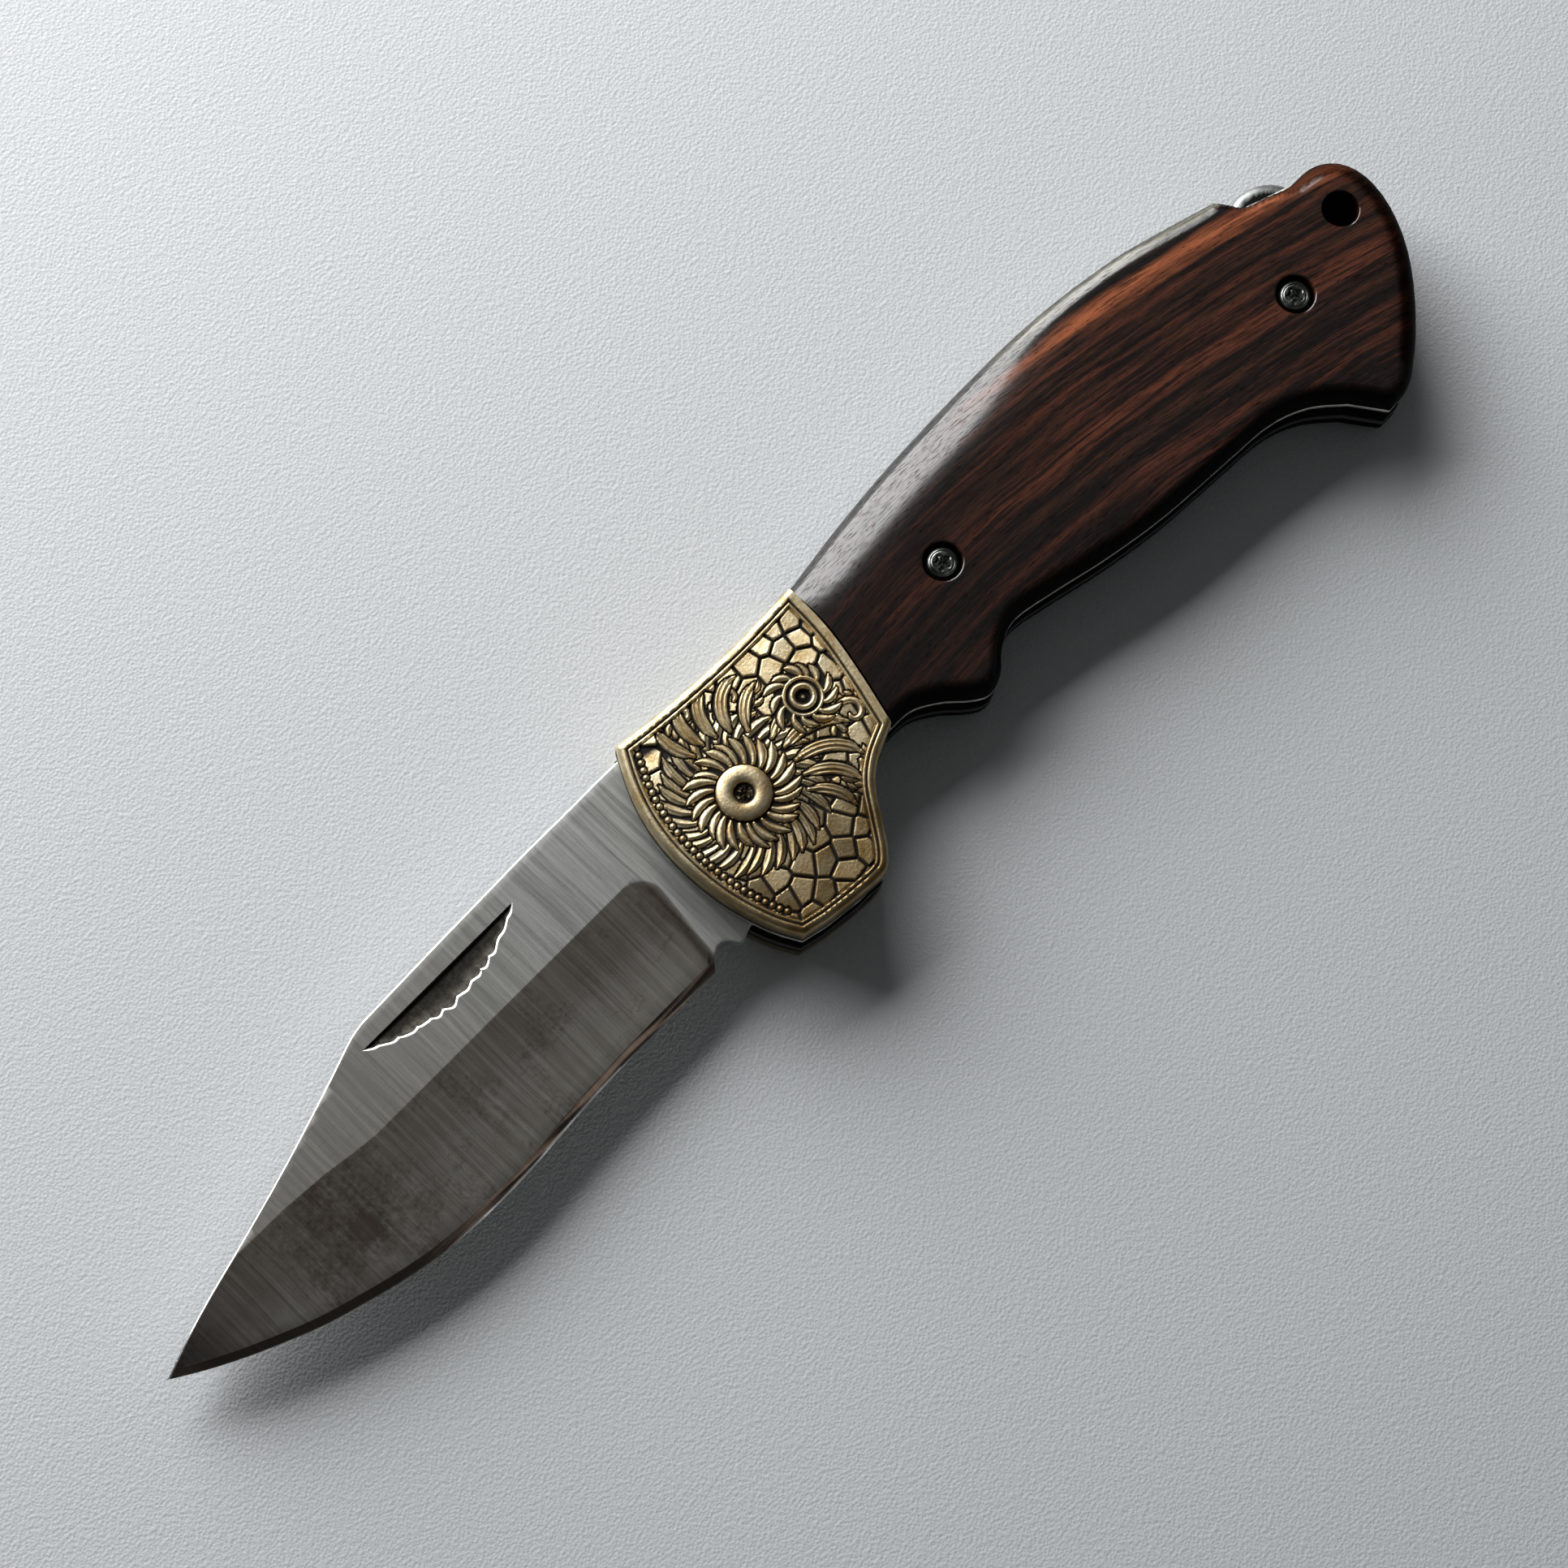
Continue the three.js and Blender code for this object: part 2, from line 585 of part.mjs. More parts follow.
// The leaf spring's side view: a bent strip from its root in the spacer to the lock bar.
function springOutline(half, depth) {
  const rootFace = bladeReach + tipClearance;
  const along = (share) => between(springContact, rootFace, share);
  const middleLine = curve([[rootFace + depth, 0.6], [along(0.933), 0.7], [along(0.653), 2.2],
    [along(0.337), 4.8], [springContact + springLand, 7.0], [springContact, 7.2],
    [springContact - springLand, 6.6]], 20);
  const side = (sign) => middleLine.map((p, i) => {
    const before = middleLine[Math.max(0, i - 1)];
    const after = middleLine[Math.min(middleLine.length - 1, i + 1)];
    const run = after.clone().sub(before).normalize();
    return new THREE.Vector2(p.x - run.y * sign * half, p.y + run.x * sign * half);
  });
  return [...side(1), ...side(-1).reverse()];
}

function lockSpring() {
  return prism(springOutline(springThickness / 2, springRootDepth),
    slotBase + sideClearance, slotTop - sideClearance);
}

function rearSpacer() {
  const [low, high] = [slotBase - beyond, slotTop + beyond];
  const bladeRoom = rod(centre, bladeReach + tipClearance, low, high, tipRoomSides);
  const barRoom = prism(rectangle(springContact, spacerTop, buttReach + beyond, farBeyond), low, high);
  const springSlot = prism(springOutline(springThickness / 2 + pinClearance,
    springRootDepth + springRootClearance), low, high);
  return cut(prism(setIn(handleOutline, spacerInset), slotBase, slotTop), bladeRoom, barRoom, springSlot,
    ...spacerPinPlaces.map((place) => rod(place, spacerPinRadius + pinClearance, low, high, pinSides)),
    rod(lanyardPlace, lanyardRadius, low, high));
}

function pivotBarrel() {
  const seat = pivotHeadHeight - headClearance;
  const top = nearFace - pivotHeadHeight - barrelEndGap;
  return turned([[0, 0], [pivotHeadRadius, 0], [pivotHeadRadius, seat], [barrelRadius, seat],
    [barrelRadius, top], [barrelBore, top], [barrelBore, barrelFloor], [0, barrelFloor]]);
}

function pivotScrew() {
  const top = nearFace + pivotHeadProud;
  const seat = nearFace - pivotHeadHeight + headClearance;
  const low = barrelFloor + pivotScrewEndGap;
  const socket = top - pivotSocketDepth;
  return turned([[0, low], [pivotScrewRadius, low], [pivotScrewRadius, seat], [pivotHeadRadius, seat],
    [pivotHeadRadius, top - pivotHeadChamfer], [pivotHeadRadius - pivotHeadChamfer, top],
    [pivotSocketRadius, top], [pivotSocketRadius, socket], [0, socket]]);
}

function washer() {
  const shape = new THREE.Shape().absarc(0, 0, washerRadius, 0, 2 * Math.PI);
  shape.holes.push(new THREE.Path().absarc(0, 0, barrelRadius + pinClearance, 0, 2 * Math.PI, true));
  const settings = { depth: washerThickness, bevelEnabled: false, curveSegments: pinSides };
  return new THREE.ExtrudeGeometry(shape, settings).translate(0, 0, bladeTop + washerClearance);
}

// A screw whose head is sunk in the scale and whose thread ends inside the liner.
function scaleScrew() {
  const top = nearFace - screwSunk;
  const seat = top - screwHeadHeight + headClearance;
  const low = slotTop + shankEndClearance;
  const body = turned([[0, low], [screwShankRadius, low], [screwShankRadius, seat],
    [screwHeadRadius, seat], [screwHeadRadius, top - screwChamfer], [screwHeadRadius - screwChamfer, top],
    [0, top]]);
  const across = screwHeadRadius + beyond;
  const slot = rectangle(-across, -screwSlotWidth / 2, across, screwSlotWidth / 2);
  return cut(body, prism(slot, top - screwSlotDepth, top + beyond));
}

// The ring-headed rivet that fastens a bolster to its liner.
function bolsterRivet() {
  const top = nearFace - rivetSunk;
  const seat = nearFace - fieldDepth - rivetHeadHeight + headClearance;
  const low = slotTop + shankEndClearance;
  const eye = top - rivetEyeDepth;
  return turned([[0, low], [rivetShankRadius, low], [rivetShankRadius, seat], [rivetRadius, seat],
    [rivetRadius, top - rivetChamfer], [rivetRadius - rivetChamfer, top], [rivetEyeRadius, top],
    [rivetEyeRadius, eye], [0, eye]]);
}

// A pin through both liners.
function pin(place, radius) {
  return rod(place, radius, farLinerBase + pinEndInset, nearScaleBase - pinEndInset, pinSides);
}

const bladeSteel = { color: 0x77787a, roughness: 0.38, metalness: 1 };
const springSteel = { color: 0x8f9193, roughness: 0.35, metalness: 1 };
const linerSteel = { color: 0xa9aaab, roughness: 0.3, metalness: 1 };
const screwSteel = { color: 0x6f7173, roughness: 0.35, metalness: 1 };
const antiqueBrass = { color: 0xa8915a, roughness: 0.35, metalness: 1 };
const darkWood = { color: 0x3f241b, roughness: 0.4, metalness: 0 };
const washerBronze = { color: 0x8a6236, roughness: 0.4, metalness: 1 };

const knife = new THREE.Group();

function place(name, geometry, finish, at = centre) {
  const mesh = new THREE.Mesh(geometry, new THREE.MeshStandardMaterial(finish));
  mesh.name = name;
  mesh.position.set(at.x, at.y, 0);
  knife.add(mesh);
}

place('blade', blade(), bladeSteel);
place('lock_bar', lockBar(), springSteel);
place('lock_spring', lockSpring(), springSteel);
place('rear_spacer', rearSpacer(), linerSteel);
place('lock_bar_pin', pin(rockerPlace, rockerPinRadius), screwSteel);
place('spacer_pin_upper', pin(spacerPinPlaces[0], spacerPinRadius), screwSteel);
place('spacer_pin_lower', pin(spacerPinPlaces[1], spacerPinRadius), screwSteel);
place('pivot_barrel', pivotBarrel(), antiqueBrass);
place('pivot_screw', pivotScrew(), antiqueBrass);

for (const [side, turnOver] of [['near', (piece) => piece], ['far', farSide]]) {
  place(`${side}_liner`, turnOver(liner()), linerSteel);
  place(`${side}_bolster`, turnOver(bolster()), antiqueBrass);
  place(`${side}_scale`, turnOver(scale()), darkWood);
  place(`${side}_washer`, turnOver(washer()), washerBronze);
  place(`${side}_bolster_rivet`, turnOver(bolsterRivet()), antiqueBrass, rivetPlace);
  place(`${side}_screw_front`, turnOver(scaleScrew()), screwSteel, frontScrewPlace);
  place(`${side}_screw_rear`, turnOver(scaleScrew()), screwSteel, rearScrewPlace);
}

export default knife;
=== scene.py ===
import json
import math
import random

import bmesh
import bpy
import numpy as np
from mathutils import Matrix, Vector, kdtree


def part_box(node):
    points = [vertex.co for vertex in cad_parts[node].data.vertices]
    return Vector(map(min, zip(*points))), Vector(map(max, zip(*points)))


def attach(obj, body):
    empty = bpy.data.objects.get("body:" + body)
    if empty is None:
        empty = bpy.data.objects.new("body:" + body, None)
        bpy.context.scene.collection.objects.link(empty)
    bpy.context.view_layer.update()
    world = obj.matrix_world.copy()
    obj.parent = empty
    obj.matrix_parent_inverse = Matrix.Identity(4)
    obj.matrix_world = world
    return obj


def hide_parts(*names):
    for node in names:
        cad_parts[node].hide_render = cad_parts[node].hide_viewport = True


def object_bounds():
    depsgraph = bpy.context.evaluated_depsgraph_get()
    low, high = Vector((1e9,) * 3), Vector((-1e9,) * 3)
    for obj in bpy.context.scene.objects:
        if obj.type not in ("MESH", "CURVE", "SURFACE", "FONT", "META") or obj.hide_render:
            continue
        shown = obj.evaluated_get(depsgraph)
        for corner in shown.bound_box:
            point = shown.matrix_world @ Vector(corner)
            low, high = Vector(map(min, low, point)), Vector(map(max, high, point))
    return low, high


# A lock-back folding knife, open, lying on its far side on a pale table.
# Everything is in metres in the knife's own frame; mm turns a size in millimetres into metres.
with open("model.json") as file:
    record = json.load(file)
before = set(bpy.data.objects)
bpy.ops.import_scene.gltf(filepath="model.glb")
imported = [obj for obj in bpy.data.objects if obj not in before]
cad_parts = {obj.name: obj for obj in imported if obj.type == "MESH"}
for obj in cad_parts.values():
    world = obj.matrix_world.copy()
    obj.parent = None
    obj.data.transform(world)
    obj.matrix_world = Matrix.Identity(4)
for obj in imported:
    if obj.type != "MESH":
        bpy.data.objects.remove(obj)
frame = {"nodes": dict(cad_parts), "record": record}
cadLow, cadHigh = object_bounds()
nodes = frame["nodes"]
mm = 0.001


# The view: the camera's lean, and how the knife lies in it
view = {
    "side": 1932,              # the picture is square, in pixels
    "focal": 6000,             # focal length in pixels
    "sensor": 36,
    "distance": 0.6,
    "leanDown": 13.3,          # degrees off straight down
    "leanLeft": 12.9,
    "knifeTurn": 45.4,         # degrees that the knife is turned on the table
    "pivotPixel": (917, 976),  # where the pivot is seen
    "pivotHeight": 14 * mm,
    "aimHeight": 7 * mm,
}


def viewAxes():
    lean = math.radians(view["leanDown"])
    left = math.radians(view["leanLeft"])
    back = Vector((-math.sin(lean) * math.sin(left), -math.sin(lean) * math.cos(left), math.cos(lean)))
    right = (Vector((1, 0, 0)) - back.x * back).normalized()
    return right, back.cross(right), back


def pivotOnTable():
    right, up, back = viewAxes()
    eye = Vector((0, 0, view["aimHeight"])) + view["distance"] * back
    column, row = view["pivotPixel"]
    ray = (column - view["side"] / 2) / view["focal"] * right
    ray += (view["side"] / 2 - row) / view["focal"] * up - back
    pivot = eye + ray * (view["pivotHeight"] - eye.z) / ray.z
    return Vector((pivot.x, pivot.y, 0))


# From the table's axes (picture right, picture up, height, middle of the picture) to the knife's.
tableToKnife = Matrix.Rotation(-math.radians(view["knifeTurn"]), 4, "Z") @ Matrix.Translation(-pivotOnTable())


def makeCamera():
    right, up, back = viewAxes()
    pose = Matrix((right, up, back)).transposed().to_4x4()
    pose.translation = Vector((0, 0, view["aimHeight"])) + view["distance"] * back
    data = bpy.data.cameras.new("camera")
    data.sensor_width = view["sensor"]
    data.lens = view["focal"] / view["side"] * view["sensor"]
    data.clip_start = 0.01
    camera = bpy.data.objects.new("camera", data)
    camera.matrix_world = tableToKnife @ pose
    bpy.context.scene.collection.objects.link(camera)
    bpy.context.scene.camera = camera


makeCamera()
bpy.context.scene.view_settings.view_transform = "Standard"
print("camera placed")


# Light: a wide window-like lamp at the upper left, a weak fill, and an even grey room
light = {
    "window": {"place": (-0.432, 0.573, 0.402), "size": (0.84, 0.78), "power": 12.1, "aim": (0, 0, 0)},
    "ceiling": {"place": (0.25, 0.2, 1.15), "size": (1.1, 1.1), "power": 0.16, "aim": (0, 0, 0)},
    "room": (0.046, 0.048, 0.048),
}


def makeLamp(name, spec):
    data = bpy.data.lights.new(name, "AREA")
    data.shape = "RECTANGLE"
    data.size, data.size_y = spec["size"]
    data.energy = spec["power"]
    lamp = bpy.data.objects.new(name, data)
    place = tableToKnife @ Vector(spec["place"])
    aim = tableToKnife @ Vector(spec["aim"])
    lamp.location = place
    lamp.rotation_euler = (aim - place).to_track_quat("-Z", "Y").to_euler()
    bpy.context.scene.collection.objects.link(lamp)


def makeRoom():
    world = bpy.data.worlds.new("room")
    world.use_nodes = True
    background = world.node_tree.nodes["Background"]
    background.inputs["Color"].default_value = (*light["room"], 1)
    background.inputs["Strength"].default_value = 1.0
    bpy.context.scene.world = world


makeLamp("window", light["window"])
makeLamp("ceiling", light["ceiling"])
makeRoom()
print("lamps placed")


# Small helpers for node trees
def addNode(tree, kind, inputs=None, **settings):
    node = tree.nodes.new(kind)
    for key, value in settings.items():
        setattr(node, key, value)
    for key, value in (inputs or {}).items():
        setInput(tree, node.inputs[key], value)
    return node


def setInput(tree, socket, value):
    if isinstance(value, bpy.types.NodeSocket):
        tree.links.new(value, socket)
    else:
        socket.default_value = value


def newMaterial(name):
    material = bpy.data.materials.new(name)
    material.use_nodes = True
    tree = material.node_tree
    return material, tree, tree.nodes["Principled BSDF"]


def rgb(hexCode):
    parts = [int(hexCode[i:i + 2], 16) / 255 for i in (0, 2, 4)]
    return (*[p / 12.92 if p <= 0.04045 else ((p + 0.055) / 1.055) ** 2.4 for p in parts], 1)


def mix(tree, share, a, b):
    node = addNode(tree, "ShaderNodeMix", data_type="RGBA")
    setInput(tree, node.inputs[0], share)
    setInput(tree, node.inputs[6], a)
    setInput(tree, node.inputs[7], b)
    return node.outputs[2]


def calc(tree, operation, a, b=0.0, clamp=False):
    node = addNode(tree, "ShaderNodeMath", operation=operation, use_clamp=clamp)
    setInput(tree, node.inputs[0], a)
    setInput(tree, node.inputs[1], b)
    return node.outputs[0]


def remap(tree, value, fromLow, fromHigh, toLow=0.0, toHigh=1.0):
    node = addNode(tree, "ShaderNodeMapRange", {
        "Value": value, "From Min": fromLow, "From Max": fromHigh, "To Min": toLow, "To Max": toHigh})
    return node.outputs["Result"]


# Streaks: noise drawn out along one axis, for grinding lines and wood fibres.
def makeStreakGroup():
    group = bpy.data.node_groups.new("streaks", "ShaderNodeTree")
    for name in ("Place", "Density"):
        group.interface.new_socket(name, in_out="INPUT", socket_type="NodeSocketVector")
    for name in ("Wander", "Detail"):
        group.interface.new_socket(name, in_out="INPUT", socket_type="NodeSocketFloat")
    group.interface.new_socket("Fac", in_out="OUTPUT", socket_type="NodeSocketFloat")
    given = addNode(group, "NodeGroupInput")
    result = addNode(group, "NodeGroupOutput")
    bend = addNode(group, "ShaderNodeTexNoise", {
        "Vector": given.outputs["Place"], "Scale": 60.0, "Detail": 1.0})
    shift = addNode(group, "ShaderNodeVectorMath", {0: bend.outputs["Color"], 1: (0.5, 0.5, 0.5)},
                    operation="SUBTRACT")
    bent = addNode(group, "ShaderNodeVectorMath", {0: shift.outputs[0], "Scale": given.outputs["Wander"]},
                   operation="SCALE")
    moved = addNode(group, "ShaderNodeVectorMath", {0: given.outputs["Place"], 1: bent.outputs[0]},
                    operation="ADD")
    drawn = addNode(group, "ShaderNodeVectorMath", {0: moved.outputs[0], 1: given.outputs["Density"]},
                    operation="MULTIPLY")
    noise = addNode(group, "ShaderNodeTexNoise", {
        "Vector": drawn.outputs[0], "Scale": 1.0, "Detail": given.outputs["Detail"], "Roughness": 0.6})
    group.links.new(noise.outputs["Fac"], result.inputs["Fac"])
    return group


# Mottle: cloudy patches of a chosen size, for stains and uneven wear.
def makeMottleGroup():
    group = bpy.data.node_groups.new("mottle", "ShaderNodeTree")
    for name in ("Scale", "Low", "High"):
        group.interface.new_socket(name, in_out="INPUT", socket_type="NodeSocketFloat")
    group.interface.new_socket("Fac", in_out="OUTPUT", socket_type="NodeSocketFloat")
    given = addNode(group, "NodeGroupInput")
    result = addNode(group, "NodeGroupOutput")
    place = addNode(group, "ShaderNodeTexCoord").outputs["Object"]
    noise = addNode(group, "ShaderNodeTexNoise", {
        "Vector": place, "Scale": given.outputs["Scale"], "Detail": 5.0, "Roughness": 0.62})
    spread = addNode(group, "ShaderNodeMapRange", {
        "Value": noise.outputs["Fac"], "From Min": given.outputs["Low"], "From Max": given.outputs["High"]})
    group.links.new(spread.outputs["Result"], result.inputs["Fac"])
    return group


streakGroup = makeStreakGroup()
mottleGroup = makeMottleGroup()


def objectPlace(tree):
    return addNode(tree, "ShaderNodeTexCoord").outputs["Object"]


def streaks(tree, density, wander, detail, place=None):
    node = addNode(tree, "ShaderNodeGroup", node_tree=streakGroup)
    tree.links.new(place or objectPlace(tree), node.inputs["Place"])
    for key, value in (("Density", density), ("Wander", wander), ("Detail", detail)):
        node.inputs[key].default_value = value
    return node.outputs["Fac"]


def mottle(tree, scale, low=0.35, high=0.65):
    node = addNode(tree, "ShaderNodeGroup", node_tree=mottleGroup)
    for key, value in (("Scale", scale), ("Low", low), ("High", high)):
        node.inputs[key].default_value = value
    return node.outputs["Fac"]


def bumpOf(tree, height, distance, strength):
    node = addNode(tree, "ShaderNodeBump", {"Height": height, "Distance": distance, "Strength": strength})
    return node.outputs["Normal"]


# One channel of a colour layer that is painted on the mesh
def painted(tree, layer, channel):
    node = addNode(tree, "ShaderNodeAttribute", attribute_name=layer)
    split = addNode(tree, "ShaderNodeSeparateColor", {"Color": node.outputs["Color"]})
    return split.outputs[channel]


# A mask that is one between two values, with a soft border on each side
def window(tree, value, low, high, soft):
    rise = remap(tree, value, low - soft, low + soft)
    fall = remap(tree, value, high - soft, high + soft, 1.0, 0.0)
    return calc(tree, "MULTIPLY", rise, fall)


# Blade steel: cross-ground flats, a darker stained grind, a dark edge and a dark nick.
# Places are in metres from the pivot: along the blade, or across it.
bladeFinish = {
    "flat": "9c9d9a", "flatLight": "c6c7c3", "ground": "8c8780", "heel": "b4b0a6",
    # edge is the painted dark reflection of the edge bevel, bronze the colour of its painted glints
    "stain": "716a62", "blotch": "4d3f36", "edge": "4a443e", "bronze": "dcc0ac",
    # bright is the colour of the painted highlight
    "nick": "2a2926", "nickLight": "403e38", "bright": "ffffff", "brown": "5d4436",
    # streaks: density on each axis, how far they wander, and their detail
    "lines": ((9000, 260, 400), 0.0006, 4.0),
    "broadLines": ((1800, 52, 80), 0.001, 3.0),
    "scratches": ((260, 9000, 400), 0.004, 2.0),
    "glints": ((60, 1500, 300), 0.001, 2.0),
    "lineShares": (0.45, 0.55),        # of fine and broad lines in the grinding
    "lineDepth": 0.00004,
    # where a pattern begins to show, where it is full, and how strong it then is
    "flatLines": (0.26, 0.74, 0.0, 1.0),
    "groundLines": (0.42, 0.66, 0.0, 0.6),
    "scratchShows": (0.68, 0.72, 0.0, 0.3),
    "glintShows": (0.45, 0.62, 0.0, 1.0),
    "blotchShows": (1.15, 2.15, 0.0, 0.75),
    # mottling: scale, and where it begins and is full
    "patches": (95.0, 0.42, 0.7),
    "clouds": (150.0, 0.35, 0.65),
    "specks": (1500.0, 0.25, 0.75),
    "nickSpecks": (1600.0, 0.35, 0.65),
    "rough": (0.42, 0.52), "polished": 0.24,
    "browned": 0.7,                    # strength of the stain at the plunge
    "darkening": (-0.02, -0.06, 0.0, 0.75),       # the flat is duller towards the tip
    "stained": (-0.0695, -0.0015, 0.0085),     # middle of the brown stain; its height on the near side
    "stainReach": (0.0125, 0.002),
    "worn": (-0.060, -0.020, 0.008),   # stretch of the edge with the painted bronze glints, and its soft ends
    "belly": (-0.003, -0.011),         # painted reflection: the ground face is lighter towards the edge and the heel
    "heelward": (-0.072, -0.03, 0.0, 0.65),
    "shoulder": (-0.0045, -0.001, 0.0, 0.5),   # and darker below the flat, also painted reflection
}


# The flat: light grinding lines on grey, duller towards the tip
def flatColour(tree, look, grinding, along):
    colour = mix(tree, remap(tree, grinding, *look["flatLines"]), rgb(look["flat"]), rgb(look["flatLight"]))
    return mix(tree, remap(tree, along, *look["darkening"]), colour, rgb(look["ground"]))


# The ground face: patches, faint lines, a painted lighter reflection at the belly, a painted darker one at
# the shoulder, and brown blotches
def groundColour(tree, look, grinding, place, along, across):
    colour = mix(tree, mottle(tree, *look["patches"]), rgb(look["ground"]), rgb(look["stain"]))
    colour = mix(tree, remap(tree, grinding, *look["groundLines"]), colour, rgb(look["flat"]))
    belly = calc(tree, "MULTIPLY", remap(tree, across, *look["belly"]), remap(tree, along, *look["heelward"]))
    colour = mix(tree, belly, colour, rgb(look["heel"]))
    colour = mix(tree, remap(tree, across, *look["shoulder"]), colour, rgb(look["stain"]))
    away = addNode(tree, "ShaderNodeVectorMath", {0: place, 1: look["stained"]}, operation="DISTANCE")
    uneven = calc(tree, "ADD", remap(tree, away.outputs["Value"], *look["stainReach"]),
                  mottle(tree, *look["clouds"]))
    uneven = calc(tree, "ADD", uneven, mottle(tree, *look["specks"]))
    return mix(tree, remap(tree, uneven, *look["blotchShows"]), colour, rgb(look["blotch"]))


# The edge: a painted dark reflection, with painted bronze glints along one stretch of it
def edgeColour(tree, look, along):
    glints = remap(tree, streaks(tree, *look["glints"]), *look["glintShows"])
    glints = calc(tree, "MULTIPLY", glints, window(tree, along, *look["worn"]))
    return mix(tree, glints, rgb(look["edge"]), rgb(look["bronze"]))


def makeBladeSteel():
    material, tree, shader = newMaterial("bladeSteel")
    look = bladeFinish
    lines = streaks(tree, *look["lines"])
    broad = streaks(tree, *look["broadLines"])
    scratches = remap(tree, streaks(tree, *look["scratches"]), *look["scratchShows"])
    place = objectPlace(tree)
    axes = addNode(tree, "ShaderNodeSeparateXYZ", {"Vector": place})
    along, across = axes.outputs["X"], axes.outputs["Y"]
    fineShare, broadShare = look["lineShares"]
    grinding = calc(tree, "ADD", calc(tree, "MULTIPLY", lines, fineShare),
                    calc(tree, "MULTIPLY", broad, broadShare))
    flat = flatColour(tree, look, grinding, along)
    ground = groundColour(tree, look, grinding, place, along, across)
    colour = mix(tree, painted(tree, "zones", "Red"), flat, ground)
    colour = mix(tree, scratches, colour, rgb(look["blotch"]))
    colour = mix(tree, painted(tree, "zones", "Green"), colour, edgeColour(tree, look, along))
    nickTone = mix(tree, mottle(tree, *look["nickSpecks"]), rgb(look["nick"]), rgb(look["nickLight"]))
    colour = mix(tree, painted(tree, "zones", "Blue"), colour, nickTone)
    stain = calc(tree, "MULTIPLY", painted(tree, "highlightAndStain", "Green"), look["browned"])
    colour = mix(tree, stain, colour, rgb(look["brown"]))
    # painted highlight: white on the spine's rounding, the nick's lip and the burr, which are also polished
    highlightAndPolish = painted(tree, "highlightAndStain", "Red")
    colour = mix(tree, highlightAndPolish, colour, rgb(look["bright"]))
    setInput(tree, shader.inputs["Base Color"], colour)
    shader.inputs["Metallic"].default_value = 1.0
    rough = remap(tree, broad, 0.3, 0.7, *look["rough"])
    polish = addNode(tree, "ShaderNodeMix", {0: highlightAndPolish, 2: rough, 3: look["polished"]}, data_type="FLOAT")
    setInput(tree, shader.inputs["Roughness"], polish.outputs[0])
    setInput(tree, shader.inputs["Normal"], bumpOf(tree, lines, look["lineDepth"], strength=0.6))
    return material


# Plain steels: liners, springs and screws, with painted shade, near-black and not metallic, where the mesh is
# marked with it
steelFinish = {
    "linerSteel": {"colour": "dedfd8", "dark": "b4b4ac", "paintedShade": "1a1917", "rough": 0.46},
    "springSteel": {"colour": "a9abaa", "dark": "7d807f", "paintedShade": "121211", "rough": 0.40},
    "screwSteel": {"colour": "a0a49f", "dark": "4c4e4b", "paintedShade": "0c0c0c", "rough": 0.26},
}


steelGrain = {
    "lines": ((300.0, 6000.0, 6000.0), 0.0004, 3.0),
    "patches": (700.0, 0.4, 0.7),
    "rougher": (-0.06, 0.1),           # the lines' roughness, either side of the finish's own
    "lineDepth": 0.00001,
    "specularLevel": 0.12,
}


def makeSteel(name):
    material, tree, shader = newMaterial(name)
    look = steelFinish[name]
    lines = streaks(tree, *steelGrain["lines"])
    patches = mottle(tree, *steelGrain["patches"])
    colour = mix(tree, patches, rgb(look["colour"]), rgb(look["dark"]))
    # painted shade: near-black and not metallic where the zones mark it
    paintedShade = painted(tree, "zones", "Red")
    colour = mix(tree, paintedShade, colour, rgb(look["paintedShade"]))
    setInput(tree, shader.inputs["Base Color"], colour)
    setInput(tree, shader.inputs["Metallic"], remap(tree, paintedShade, 0.0, 1.0, 1.0, 0.0))
    shader.inputs["Specular IOR Level"].default_value = steelGrain["specularLevel"]
    smooth, rough = (look["rough"] + change for change in steelGrain["rougher"])
    setInput(tree, shader.inputs["Roughness"], remap(tree, lines, 0.3, 0.7, smooth, rough))
    setInput(tree, shader.inputs["Normal"], bumpOf(tree, lines, steelGrain["lineDepth"], strength=0.4))
    return material


# Antique brass: polished crests, dark patina in the recesses, tarnish spots, and painted shade towards the
# belly
brassFinish = {
    "crest": "fff0ca", "worn": "cdb07c", "tarnishAndShade": "7a6138", "patina": "150d08",
    # mottling: scale, and where it begins and is full
    "fine": (2600.0, 0.35, 0.7),
    "broad": (420.0, 0.35, 0.7),
    "spots": (170.0, 0.46, 0.66),
    "spotStrength": 0.26,
    "darkening": (0.002, -0.014, 0.0, 0.75),      # painted shade: from here to here, towards the belly, it darkens to the tarnish colour
    "patinaShows": (0.25, 0.85),
    "patinaShine": 0.3,                # how metallic the patina is
    "rough": 0.4,
    "grainDepth": 0.00004,
}


